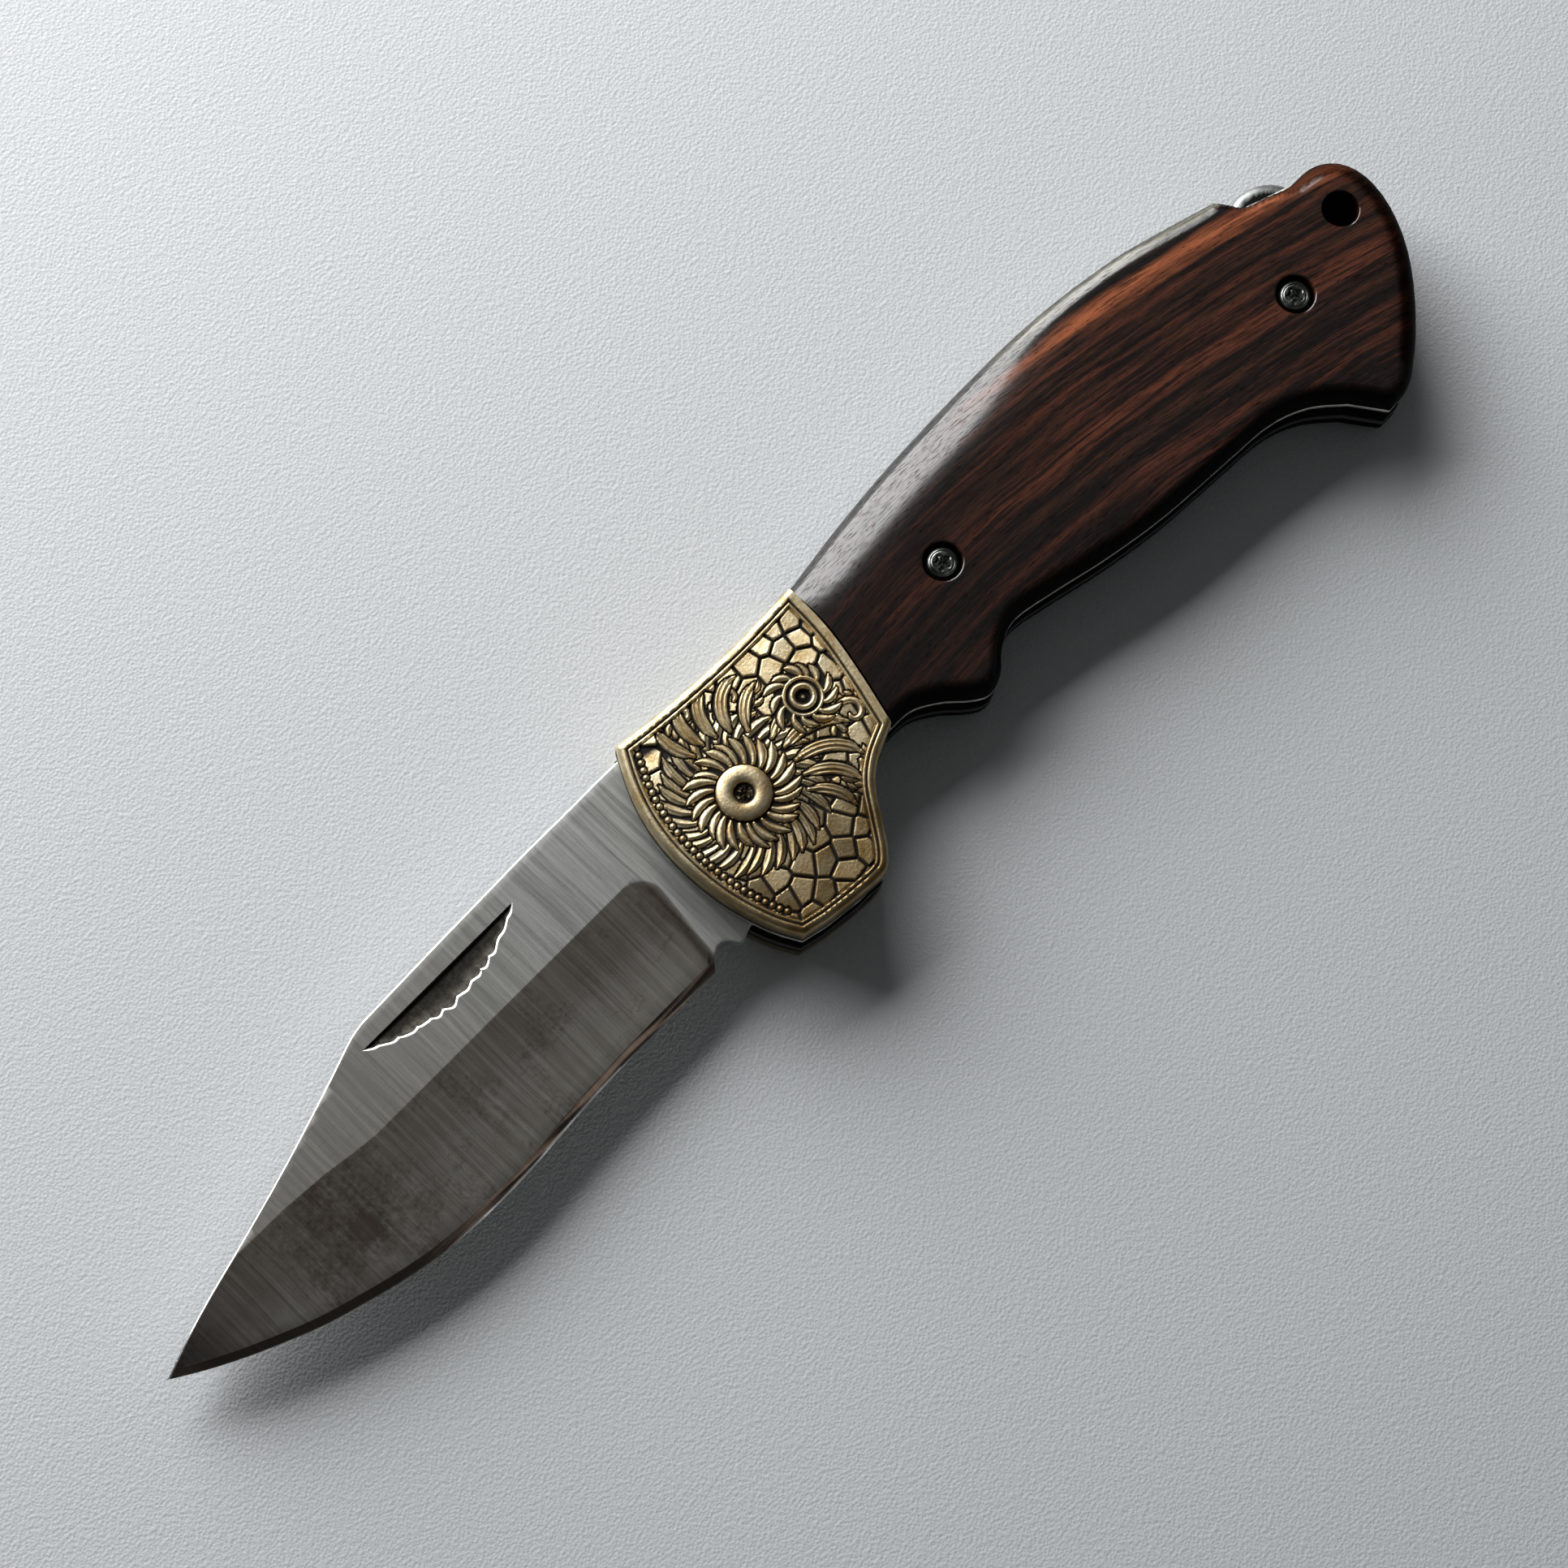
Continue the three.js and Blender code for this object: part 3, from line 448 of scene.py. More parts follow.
def makeBrass():
    material, tree, shader = newMaterial("antiqueBrass")
    look = brassFinish
    fine = mottle(tree, *look["fine"])
    bright = mix(tree, mottle(tree, *look["broad"]), rgb(look["crest"]), rgb(look["worn"]))
    across = addNode(tree, "ShaderNodeSeparateXYZ", {"Vector": objectPlace(tree)}).outputs["Y"]
    spots = calc(tree, "MULTIPLY", mottle(tree, *look["spots"]), look["spotStrength"])
    # tarnish spots, and painted shade towards the belly
    tarnishAndShade = calc(tree, "ADD", spots, remap(tree, across, *look["darkening"]))
    bright = mix(tree, tarnishAndShade, bright, rgb(look["tarnishAndShade"]))
    recess = calc(tree, "ADD", painted(tree, "zones", "Red"), calc(tree, "MULTIPLY", fine, 0.2))
    dark = remap(tree, recess, *look["patinaShows"])
    setInput(tree, shader.inputs["Base Color"], mix(tree, dark, bright, rgb(look["patina"])))
    setInput(tree, shader.inputs["Metallic"], remap(tree, dark, 0.0, 1.0, 1.0, look["patinaShine"]))
    grain = calc(tree, "ADD", calc(tree, "MULTIPLY", fine, 0.1), look["rough"])
    setInput(tree, shader.inputs["Roughness"], calc(tree, "ADD", calc(tree, "MULTIPLY", dark, 0.3), grain))
    setInput(tree, shader.inputs["Normal"], bumpOf(tree, fine, look["grainDepth"], strength=0.45))
    return material


# Dark striped wood: the stripes follow the handle's bend. Heights of the bands are in millimetres
# above the pivot, measured where the grain runs level; the other places are in metres.
woodFinish = {
    "tones": {"black": "0a0403", "dark": "26140e", "brown": "402619", "red": "5d3222", "warm": "6e3b27",
              "orange": "bb6a44", "grey": "74725f"},
    "bend": 2.0, "level": 0.034,       # how much the grain bends, per metre, and where it runs level
    "bands": [(-16, "black"), (-12.0, "dark"), (-10.4, "black"), (-8.2, "red"), (-7.0, "black"),
              (-5.4, "red"), (-4.3, "dark"), (-3.0, "black"), (-1.6, "brown"), (-0.2, "black"),
              (0.9, "red"), (2.6, "warm"), (3.7, "dark"), (4.6, "red"), (5.7, "brown"), (7.0, "dark"),
              (8.4, "red"), (9.3, "black"), (10.2, "brown"), (11.6, "dark"), (12.6, "red"),
              (13.4, "dark"), (14.6, "brown"), (16.2, "black"), (17.4, "dark"), (18.6, "brown"),
              (19.6, "black"), (21, "dark")],
    # streaks: density on each axis, how far they wander, and their detail
    "waves": ((22, 260, 120), 0.003, 3.0),
    "threads": ((60, 1500, 700), 0.0016, 4.0),
    "flecks": ((170, 2400, 1300), 0.0008, 3.0),
    "fibres": ((330, 5600, 3000), 0.0005, 4.0),
    "pores": ((800, 8000, 5000), 0.0003, 2.0),
    "sway": 0.0016,                    # how far the waves move the bands
    # streaks that tint the wood: where one begins, where it is full, how strong it is, and its tone
    "underStripes": [("flecks", 0.46, 0.36, 0.4, "red"), ("threads", 0.5, 0.6, 0.85, "black")],
    "overStripes": [("flecks", 0.5, 0.64, 0.6, "black"), ("fibres", 0.5, 0.66, 0.6, "black"),
                    ("pores", 0.6, 0.68, 0.85, "black")],
    # stripes near the butt: lower side, upper side, softness, how strong it is, and its tone; the grey one is
    # a painted reflection along the spine
    "stripes": [(0.0139, 0.0157, 0.0006, 0.88, "orange"), (0.0178, 0.0194, 0.0005, 0.85, "grey"),
                (0.0164, 0.0172, 0.0003, 1.0, "black")],
    "stripesFade": (0.05, 0.072),      # and where along the handle they fade in
    "deeper": (0.022, 0.066, 0.76, 0.0),       # forward of here the wood is darker
    # how far the painted shade darkens the rims and walls
    "edgeShade": 0.8,
    # what breaks the lacquer: where it begins, where it is full, and how much it takes away
    "breaks": [("fibres", 0.46, 0.66, 0.24), ("pores", 0.53, 0.63, 0.6)],
    "coatIor": 1.82, "gloss": 0.17,
    "rough": (0.42, 0.56), "spot": 0.02,
    "poreDepth": 0.8, "fleckHeight": 0.8, "grainDepth": 0.000035,
}


# The colour of the bands at a height above the pivot
def bandColour(tree, look, tones, height):
    bands = look["bands"]
    low, high = bands[0][0], bands[-1][0]
    ramp = addNode(tree, "ShaderNodeValToRGB", {"Fac": remap(tree, height, low * mm, high * mm)})
    stops = ramp.color_ramp.elements
    stops[0].color, stops[1].color = tones[bands[0][1]], tones[bands[-1][1]]
    for at, tone in bands[1:-1]:
        stops.new((at - low) / (high - low)).color = tones[tone]
    return ramp.outputs["Color"]


def makeWood():
    material, tree, shader = newMaterial("darkWood")
    look = woodFinish
    tones = {name: rgb(code) for name, code in look["tones"].items()}
    axes = addNode(tree, "ShaderNodeSeparateXYZ", {"Vector": objectPlace(tree)})
    along = axes.outputs["X"]
    off = calc(tree, "SUBTRACT", along, look["level"])
    lift = calc(tree, "MULTIPLY", calc(tree, "MULTIPLY", off, off), look["bend"])
    level = calc(tree, "ADD", axes.outputs["Y"], lift)
    bent = addNode(tree, "ShaderNodeCombineXYZ", {"X": along, "Y": level, "Z": axes.outputs["Z"]})
    grain = {kind: streaks(tree, *look[kind], bent.outputs[0])
             for kind in ("waves", "threads", "flecks", "fibres", "pores")}
    sway = remap(tree, grain["waves"], 0.2, 0.8, -look["sway"], look["sway"])
    height = calc(tree, "ADD", level, sway)
    colour = bandColour(tree, look, tones, height)
    for kind, begins, full, strength, tone in look["underStripes"]:
        colour = mix(tree, remap(tree, grain[kind], begins, full, 0.0, strength), colour, tones[tone])
    fade = remap(tree, along, *look["stripesFade"])
    for low, high, soft, strength, tone in look["stripes"]:
        stripe = calc(tree, "MULTIPLY", window(tree, height, low, high, soft), fade)
        colour = mix(tree, calc(tree, "MULTIPLY", stripe, strength), colour, tones[tone])
    for kind, begins, full, strength, tone in look["overStripes"]:
        colour = mix(tree, remap(tree, grain[kind], begins, full, 0.0, strength), colour, tones[tone])
    colour = mix(tree, remap(tree, along, *look["deeper"]), colour, tones["black"])
    # painted shade on the rims, walls and holes of the scales
    colour = mix(tree, painted(tree, "zones", "Green"), colour, tones["black"])
    edge = painted(tree, "zones", "Red")
    colour = mix(tree, calc(tree, "MULTIPLY", edge, look["edgeShade"]), colour, tones["black"])
    setInput(tree, shader.inputs["Base Color"], colour)
    setInput(tree, shader.inputs["Roughness"], remap(tree, grain["fibres"], 0.3, 0.7, *look["rough"]))
    shader.inputs["Specular IOR Level"].default_value = look["spot"]
    lacquer = 1.0
    for kind, begins, full, loss in look["breaks"]:
        broken = remap(tree, grain[kind], begins, full, 0.0, loss)
        lacquer = calc(tree, "SUBTRACT", lacquer, broken, clamp=True)
    lacquer = calc(tree, "MULTIPLY", lacquer, calc(tree, "SUBTRACT", 1.0, edge))
    setInput(tree, shader.inputs["Coat Weight"], lacquer)
    shader.inputs["Coat IOR"].default_value = look["coatIor"]
    shader.inputs["Coat Roughness"].default_value = look["gloss"]
    dents = remap(tree, grain["pores"], 0.6, 0.7, 0.0, look["poreDepth"])
    relief = calc(tree, "SUBTRACT", grain["fibres"], dents)
    relief = calc(tree, "ADD", relief, calc(tree, "MULTIPLY", grain["flecks"], look["fleckHeight"]))
    setInput(tree, shader.inputs["Normal"], bumpOf(tree, relief, look["grainDepth"], strength=0.5))
    return material


# Bronze: patches of two browns, the darker ones rougher
bronzeFinish = {"light": "9a6f3c", "dark": "6f4a24", "patches": 900.0, "rough": (0.3, 0.45)}


def makeBronze():
    material, tree, shader = newMaterial("washerBronze")
    look = bronzeFinish
    patches = mottle(tree, look["patches"])
    setInput(tree, shader.inputs["Base Color"], mix(tree, patches, rgb(look["light"]), rgb(look["dark"])))
    shader.inputs["Metallic"].default_value = 1.0
    setInput(tree, shader.inputs["Roughness"], remap(tree, patches, 0.0, 1.0, *look["rough"]))
    return material


# Table covering: fine grained, with painted light a touch lighter towards the window
floorFinish = {
    "near": "e4e7e9", "far": "d9dddf",
    "lighter": (-0.16, 0.22),          # from here to here, in metres towards the window
    "grain": 2500.0, "finer": 0.8,     # density of the cells, and of the waves against theirs
    "depth": 0.0001,
    "rough": 0.5,
    "half": 1.6,                       # half the sheet's width, in metres
    "below": 0.05,                     # the knife lies this much above it, in millimetres
}


def makeFloorPaper():
    material, tree, shader = newMaterial("floorPaper")
    look = floorFinish
    place = objectPlace(tree)
    cells = addNode(tree, "ShaderNodeTexVoronoi", {"Vector": place, "Scale": look["grain"]}, feature="F1")
    waves = addNode(tree, "ShaderNodeTexNoise", {
        "Vector": place, "Scale": look["grain"] * look["finer"], "Detail": 2.0})
    turned = addNode(tree, "ShaderNodeMapping", {
        "Vector": place, "Rotation": (0, 0, math.radians(view["knifeTurn"]))})
    axes = addNode(tree, "ShaderNodeSeparateXYZ", {"Vector": turned.outputs[0]})
    slope = calc(tree, "SUBTRACT", axes.outputs["Y"], axes.outputs["X"])
    share = remap(tree, slope, *look["lighter"])
    setInput(tree, shader.inputs["Base Color"], mix(tree, share, rgb(look["far"]), rgb(look["near"])))
    shader.inputs["Roughness"].default_value = look["rough"]
    relief = calc(tree, "ADD", cells.outputs["Distance"], waves.outputs["Fac"])
    setInput(tree, shader.inputs["Normal"], bumpOf(tree, relief, look["depth"], strength=0.5))
    return material


materials = {
    "blade_steel": makeBladeSteel(),
    "spring_steel": makeSteel("springSteel"),
    "liner_steel": makeSteel("linerSteel"),
    "screw_steel": makeSteel("screwSteel"),
    "antique_brass": makeBrass(),
    "dark_wood": makeWood(),
    "washer_bronze": makeBronze(),
}
print("materials made")


# The table: one wide sheet just under the knife
def makeFloor():
    bm = bmesh.new()
    bmesh.ops.create_grid(bm, x_segments=2, y_segments=2, size=floorFinish["half"])
    bmesh.ops.translate(bm, verts=bm.verts, vec=(0, 0, -floorFinish["below"] * mm))
    mesh = bpy.data.meshes.new("floor")
    bm.to_mesh(mesh)
    bm.free()
    mesh.materials.append(makeFloorPaper())
    floor = bpy.data.objects.new("floor", mesh)
    bpy.context.scene.collection.objects.link(floor)


makeFloor()


# Points closer together than this count as one, in metres
merge = {"section": 0.002 * mm, "blade": 0.001 * mm, "turned": 0.001 * mm}


# Outlines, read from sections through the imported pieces, in millimetres
def sectionLoops(name, height):
    bm = bmesh.new()
    bm.from_mesh(nodes[name].data)
    bmesh.ops.remove_doubles(bm, verts=bm.verts, dist=merge["section"])
    bmesh.ops.bisect_plane(
        bm, geom=bm.verts[:] + bm.edges[:] + bm.faces[:], dist=0.0001 * mm,
        plane_co=(0, 0, height * mm), plane_no=(0, 0, 1), clear_inner=True, clear_outer=True)
    bmesh.ops.remove_doubles(bm, verts=bm.verts, dist=merge["section"])
    waiting = dict.fromkeys(bm.edges)
    loops = []
    while waiting:
        edge = next(iter(waiting))
        del waiting[edge]
        first, vert = edge.verts
        chain = [first, vert]
        while vert is not first:
            edge = next((e for e in vert.link_edges if e in waiting), None)
            if edge is None:
                break
            del waiting[edge]
            vert = edge.other_vert(vert)
            chain.append(vert)
        loop = np.array([(v.co.x, v.co.y) for v in chain[:-1]]) / mm
        if loopArea(loop) < 0:
            loop = loop[::-1]
        loops.append(loop)
    bm.free()
    return sorted(loops, key=loopArea, reverse=True)


def loopArea(loop):
    ahead = np.roll(loop, -1, axis=0)
    return 0.5 * float(np.sum(loop[:, 0] * ahead[:, 1] - ahead[:, 0] * loop[:, 1]))


# Leaves out the points that lie almost on top of the one before.
def withoutRepeats(loop, least=0.03):
    kept = [loop[0]]
    for point in loop[1:]:
        if np.linalg.norm(point - kept[-1]) > least:
            kept.append(point)
    if np.linalg.norm(kept[0] - kept[-1]) <= least:
        kept.pop()
    return np.array(kept)


# A smooth, evenly stepped outline through the section's points; sharp corners stay sharp.
def smoothed(loop, step, cornerAngle=48):
    loop = withoutRepeats(loop)
    ahead = np.roll(loop, -1, axis=0) - loop
    behind = loop - np.roll(loop, 1, axis=0)
    longAhead = np.linalg.norm(ahead, axis=1)
    longBehind = np.linalg.norm(behind, axis=1)
    turn = np.degrees(np.arccos(np.clip(np.sum(ahead * behind, axis=1) / longAhead / longBehind, -1, 1)))
    corner = turn > cornerAngle
    slope = (ahead + behind) / (longAhead + longBehind)[:, None]
    points, corners = [], []
    for i in range(len(loop)):
        j = (i + 1) % len(loop)
        reach = longAhead[i]
        start = ahead[i] / reach if corner[i] else slope[i]
        end = ahead[i] / reach if corner[j] else slope[j]
        count = max(1, int(round(reach / step)))
        for k in range(count):
            t = k / count
            a, b = 2 * t ** 3 - 3 * t ** 2 + 1, -2 * t ** 3 + 3 * t ** 2
            c, d = t ** 3 - 2 * t ** 2 + t, t ** 3 - t ** 2
            points.append(a * loop[i] + b * loop[j] + reach * (c * start + d * end))
            corners.append(bool(corner[i]) and k == 0)
    return np.array(points), np.array(corners)


# Distance from each place to a closed outline, the nearest point on it, and which stretch that is.
def nearestOnLoop(places, loop, chunk=3000):
    start = loop
    run = np.roll(loop, -1, axis=0) - loop
    runSquare = np.sum(run * run, axis=1)
    distance = np.empty(len(places))
    foot = np.empty((len(places), 2))
    index = np.empty(len(places), dtype=int)
    for k in range(0, len(places), chunk):
        part = places[k:k + chunk]
        gap = part[:, None, :] - start[None]
        share = np.clip(np.sum(gap * run[None], axis=2) / runSquare, 0, 1)
        reach = start[None] + share[..., None] * run[None]
        far = np.sum((part[:, None, :] - reach) ** 2, axis=2)
        best = np.argmin(far, axis=1)
        rows = np.arange(len(part))
        distance[k:k + chunk] = np.sqrt(far[rows, best])
        foot[k:k + chunk] = reach[rows, best]
        index[k:k + chunk] = best
    return distance, foot, index


def isInside(places, loop):
    inside = np.zeros(len(places), dtype=bool)
    x, y = places[:, 0], places[:, 1]
    for a, b in zip(loop, np.roll(loop, -1, axis=0)):
        crosses = (a[1] > y) != (b[1] > y)
        with np.errstate(divide="ignore", invalid="ignore"):
            inside ^= crosses & (x < (b[0] - a[0]) * (y - a[1]) / (b[1] - a[1]) + a[0])
    return inside


def smoothStep(low, high, value):
    t = np.clip((value - low) / (high - low), 0, 1)
    return t * t * (3 - 2 * t)


def placesOf(verts):
    return np.array([(v.co.x, v.co.y) for v in verts]) / mm


def putAt(verts, places, heights):
    for vert, (x, y), z in zip(verts, places, heights):
        vert.co = (x * mm, y * mm, z * mm)


# The nearest places on an outline or on the rims of round holes
def ontoBorder(places, outline, holes):
    distance, foot = nearestOnLoop(places, outline)[:2]
    for (x, y), radius in holes:
        away = np.hypot(places[:, 0] - x, places[:, 1] - y)
        closer = np.abs(away - radius) < distance
        onRing = np.array((x, y)) + (places - (x, y)) * (radius / np.maximum(away, 1e-6))[:, None]
        foot[closer] = onRing[closer]
        distance[closer] = np.abs(away - radius)[closer]
    return foot


# A flat sheet of fine squares, trimmed to an outline and to round holes, its border exactly on them.
def trimmedSheet(outline, corners, holes, spacing):
    low, high = outline.min(axis=0) - spacing, outline.max(axis=0) + spacing
    counts = [int(n) for n in np.ceil((high - low) / spacing)]
    bm = bmesh.new()
    bmesh.ops.create_grid(bm, x_segments=counts[0], y_segments=counts[1], size=0.5)
    bmesh.ops.scale(bm, verts=bm.verts, vec=(counts[0] * spacing * mm, counts[1] * spacing * mm, 1))
    middle = low + np.array(counts) * spacing / 2
    bmesh.ops.translate(bm, verts=bm.verts, vec=(middle[0] * mm, middle[1] * mm, 0))
    verts = bm.verts[:]
    places = placesOf(verts)
    inside = isInside(places, outline)
    distance = nearestOnLoop(places, outline)[0]
    depth = np.where(inside, distance, -distance)
    for (x, y), radius in holes:
        depth = np.minimum(depth, np.hypot(places[:, 0] - x, places[:, 1] - y) - radius)
    bmesh.ops.delete(bm, geom=[v for v, d in zip(verts, depth) if d < -0.45 * spacing], context="VERTS")
    loose = [v for v in bm.verts if not v.link_faces]
    bmesh.ops.delete(bm, geom=loose, context="VERTS")
    border = [v for v in bm.verts if v.is_boundary]
    order = {v: i for i, v in enumerate(border)}
    beside = np.array([[order[e.other_vert(v)] for e in v.link_edges if e.is_boundary][:2] for v in border])
    places = ontoBorder(placesOf(border), outline, holes)
    pinned = [int(np.argmin(np.sum((places - corner) ** 2, axis=1))) for corner in outline[corners]]
    for _ in range(12):
        places[pinned] = outline[corners]
        places = ontoBorder((2 * places + places[beside[:, 0]] + places[beside[:, 1]]) / 4, outline, holes)
    places[pinned] = outline[corners]
    putAt(border, places, np.zeros(len(places)))
    fixed = set(border)
    band = [v for v in bm.verts if v not in fixed]
    for _ in range(4):
        bmesh.ops.smooth_vert(bm, verts=band, factor=0.5, use_axis_x=True, use_axis_y=True, use_axis_z=False)
    return bm


# Where a point at this distance from the border goes, and how far it sinks, on a rounded rim
def rounded(distance, width, depth):
    turn = np.pi / 2 * np.clip(distance / width, 0, 1)
    return width * (1 - np.cos(turn)), depth * (1 - np.sin(turn))


# Spreads a sudden change of a value along a closed outline.
def eased(values, passes):
    for _ in range(passes):
        values = (np.roll(values, 1) + 2 * values + np.roll(values, -1)) / 4
    return values


# Turns a trimmed sheet into the top of a plate: its border rounds over, by a width and depth of its own.
def roundOver(bm, outline, roundings, top):
    verts = bm.verts[:]
    places = placesOf(verts)
    distance, foot, index = nearestOnLoop(places, outline)
    width, depth = roundings[index].T
    moved, drop = rounded(distance, width, depth)
    close = distance < width
    reach = np.where(close, moved / np.maximum(distance, 1e-6), 1)[:, None]
    places = np.where(close[:, None], foot + (places - foot) * reach, places)
    drop = np.where(close, drop, 0)
    putAt(verts, places, top - drop)
    return verts, places, 1 - np.clip(distance / width, 0, 1)


# A wider, gentler fall of the face towards the outline, by a width and depth for each stretch of it
def crownFace(verts, places, outline, crowns):
    distance, _, index = nearestOnLoop(places, outline)
    width, depth = crowns[index].T
    drop = depth * np.clip(1 - distance / width, 0, 1) ** 2
    for vert, fall in zip(verts, drop):
        vert.co.z -= fall * mm


# Walls down from the border of a sheet; each ring is a list of (radius or None, height) steps.
def dropBorder(bm, holes, base):
    bm.edges.index_update()
    border = [e for e in bm.edges if e.is_boundary]
    rings = {i: [] for i in range(len(holes))}
    outer = []
    for edge in border:
        middle = (edge.verts[0].co + edge.verts[1].co) / 2 / mm
        owner = None
        for i, hole in enumerate(holes):
            if abs(math.hypot(middle.x - hole["at"][0], middle.y - hole["at"][1]) - hole["radius"]) < 0.3:
                owner = i
        (outer if owner is None else rings[owner]).append(edge)
    last = extrudeTo(bm, outer, [(None, base)], None)
    for i, hole in enumerate(holes):
        last += extrudeTo(bm, rings[i], hole["steps"] + [(None, base)], hole)
    bmesh.ops.triangle_fill(bm, edges=last, use_beauty=True, normal=(0, 0, -1))


def extrudeTo(bm, edges, steps, hole):
    zones = bm.verts.layers.float_color.get("zones")
    for radius, height in steps:
        made = bmesh.ops.extrude_edge_only(bm, edges=edges)["geom"]
        edges = [g for g in made if isinstance(g, bmesh.types.BMEdge) and g.is_boundary]
        for vert in {v for e in edges for v in e.verts}:
            if radius is not None:
                x, y = hole["at"][0] * mm, hole["at"][1] * mm
                away = math.hypot(vert.co.x - x, vert.co.y - y)
                vert.co.x = x + (vert.co.x - x) * radius * mm / away
                vert.co.y = y + (vert.co.y - y) * radius * mm / away
            vert.co.z = min(vert.co.z, height * mm)
            # painted shade: walls and the deeper steps of holes are marked dark, the rings of a soft rim a
            # little
            if zones is not None:
                deep = radius is None or height < layers["top"] - 0.5
                vert[zones] = (1, 1, 0, 1) if deep else (0, 0.3, 0, 1)
    return edges


# Turns a near piece into its far twin
def turnOver(bm):
    for vert in bm.verts:
        vert.co.z = layers["top"] * mm - vert.co.z
    bmesh.ops.reverse_faces(bm, faces=bm.faces)


# Makes the finished piece: smooth faces with crisp edges, a finish, and its place on a body.
def putPiece(bm, name, finish, body, replaced, crisp=34):
    limit = math.radians(crisp)
    for face in bm.faces:
        face.smooth = True
    for edge in bm.edges:
        if edge.is_manifold and edge.calc_face_angle(0) > limit:
            edge.smooth = False
    mesh = bpy.data.meshes.new(name)
    bm.to_mesh(mesh)
    bm.free()
    mesh.materials.append(materials[finish])
    piece = bpy.data.objects.new(name, mesh)
    bpy.context.scene.collection.objects.link(piece)
    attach(piece, body)
    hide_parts(*replaced)
    return piece


def roundHoles(loops):
    holes = []
    for loop in loops:
        middle = loop.mean(axis=0)
        holes.append((tuple(middle), float(np.linalg.norm(loop - middle, axis=1).max())))
    return holes


# Heights in millimetres
screwProud = 0.2     # how far the pivot screw stands above the scales
layers = {
    "top": cadHigh.z / mm - screwProud,
    "nearBase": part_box("near_scale")[0].z / mm,
    "bladeTop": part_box("blade")[1].z / mm,
    "bladeBase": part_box("blade")[0].z / mm,
}
layers["nearSection"] = layers["nearBase"] + 0.02     # just inside the near scale and bolster
layers["bladeMiddle"] = (layers["bladeTop"] + layers["bladeBase"]) / 2
print("outlines ready")


# Scales: rounded wood slabs with two screw recesses and the lanyard hole
scaleShape = {
    "spacing": 0.34,
    # width and depth of the rounded rim along each side, and of the crown inside it
    "rims": {"spine": (2.0, 1.4), "notch": (0.75, 1.2), "butt": (3.0, 2.6), "belly": (2.1, 2.7)},
    "crowns": {"spine": (9.4, 2.2), "butt": (7.0, 0.8), "belly": (6.0, 0.35)},
    # painted shade: how dark the rim is along each side, and over which share of its width that grows
    "darkRims": {"spine": 0.8, "notch": 0.4, "butt": 0.7, "belly": 0.92},
    "darkFrom": {"spine": (0.5, 0.75), "notch": (0.2, 0.6), "butt": (0.4, 0.9), "belly": (0.12, 0.45)},
    # over which share of its width the lacquer goes and further painted shade darkens it
    "bareAndShadeFrom": {"spine": (0.72, 0.95), "notch": (0.02, 0.25), "butt": (0.02, 0.25), "belly": (0.12, 0.45)},
    "crownGrows": (14, 31),    # along x the crown grows behind the bolster and fades towards the butt
    "crownFades": (50, 78),
    "crownLeast": 0.42,        # share of the crown at the bolster
    "crownLoss": 0.72,         # and what it loses at the butt
    "notchReach": 16.4,        # how far the thumb notch and the butt reach in from the rear end
    "buttReach": 15.4,
    "notchEnds": 6,            # and how far short of that end the notch stops
    "notchSkips": (1, 16),     # points of the outline before and past the notch that the crown skips
    "easedFrom": 30,           # behind here one side's rounding passes slowly into the next one's
    "split": 5.8,              # height that parts the spine from the belly at the rear
    "pastJoint": 20,
    "notchShows": 0.22,        # how much of the liner shows in the thumb notch
    "recessRadius": 2.5,
    "recessFloor": 1.8,        # below the top
    "softRim": 0.26,           # rounding of the holes
    "softSteps": [(0.62, 0.08), (0.29, 0.29), (0.08, 0.62), (0, 1)],     # outwards and down, as shares of it
}


# Spreads the change of a width and depth from one side to the next
def easedSides(outline, sides, passes):
    values = np.array(sides, dtype=float)
    soft = np.stack([eased(values[:, k].copy(), passes) for k in range(2)], axis=1)
    front = outline[:, 0] < scaleShape["easedFrom"]
    soft[front] = values[front]
    return soft


# The side of the scale that a point of its outline belongs to
def sideOf(x, y, reach, withNotch):
    shape = scaleShape
    if y > shape["split"]:
        return "notch" if withNotch and x > reach - shape["notchReach"] else "spine"
    return "butt" if x > reach - shape["buttReach"] else "belly"


# Joins the two ends of the thumb notch with one smooth curve, from just before it to some way past it
def overNotch(outline):
    inside = np.where(inNotch(outline))[0]
    before, past = scaleShape["notchSkips"]
    first, last = int(inside.min()) - before, int(inside.max()) + past
    start, end = outline[first], outline[last]
    chord = end - start
    leave = outline[last + 1] - outline[last - 1]
    leave = leave / np.linalg.norm(leave) * np.linalg.norm(chord)
    t = np.linspace(0, 1, 42)[1:-1, None]
    curve = ((2 * t ** 3 - 3 * t ** 2 + 1) * start + (3 * t ** 2 - 2 * t ** 3) * end
             + (t ** 3 - 2 * t ** 2 + t) * chord + (t ** 3 - t ** 2) * leave)
    return np.vstack([outline[:first + 1], curve, outline[last:]])


# Which points of an outline lie in the thumb notch
def inNotch(outline):
    shape = scaleShape
    reach = outline[:, 0].max()
    x, y = outline.T
    return (y > shape["split"]) & (x > reach - shape["notchReach"]) & (x < reach - shape["notchEnds"])


# The two corners of an outline that lie furthest back along x, or furthest forward
def jointCorners(outline, corners, atRear):
    sharp = np.where(corners)[0]
    order = np.argsort(outline[sharp, 0])
    return sharp[order[-2:] if atRear else order[:2]]


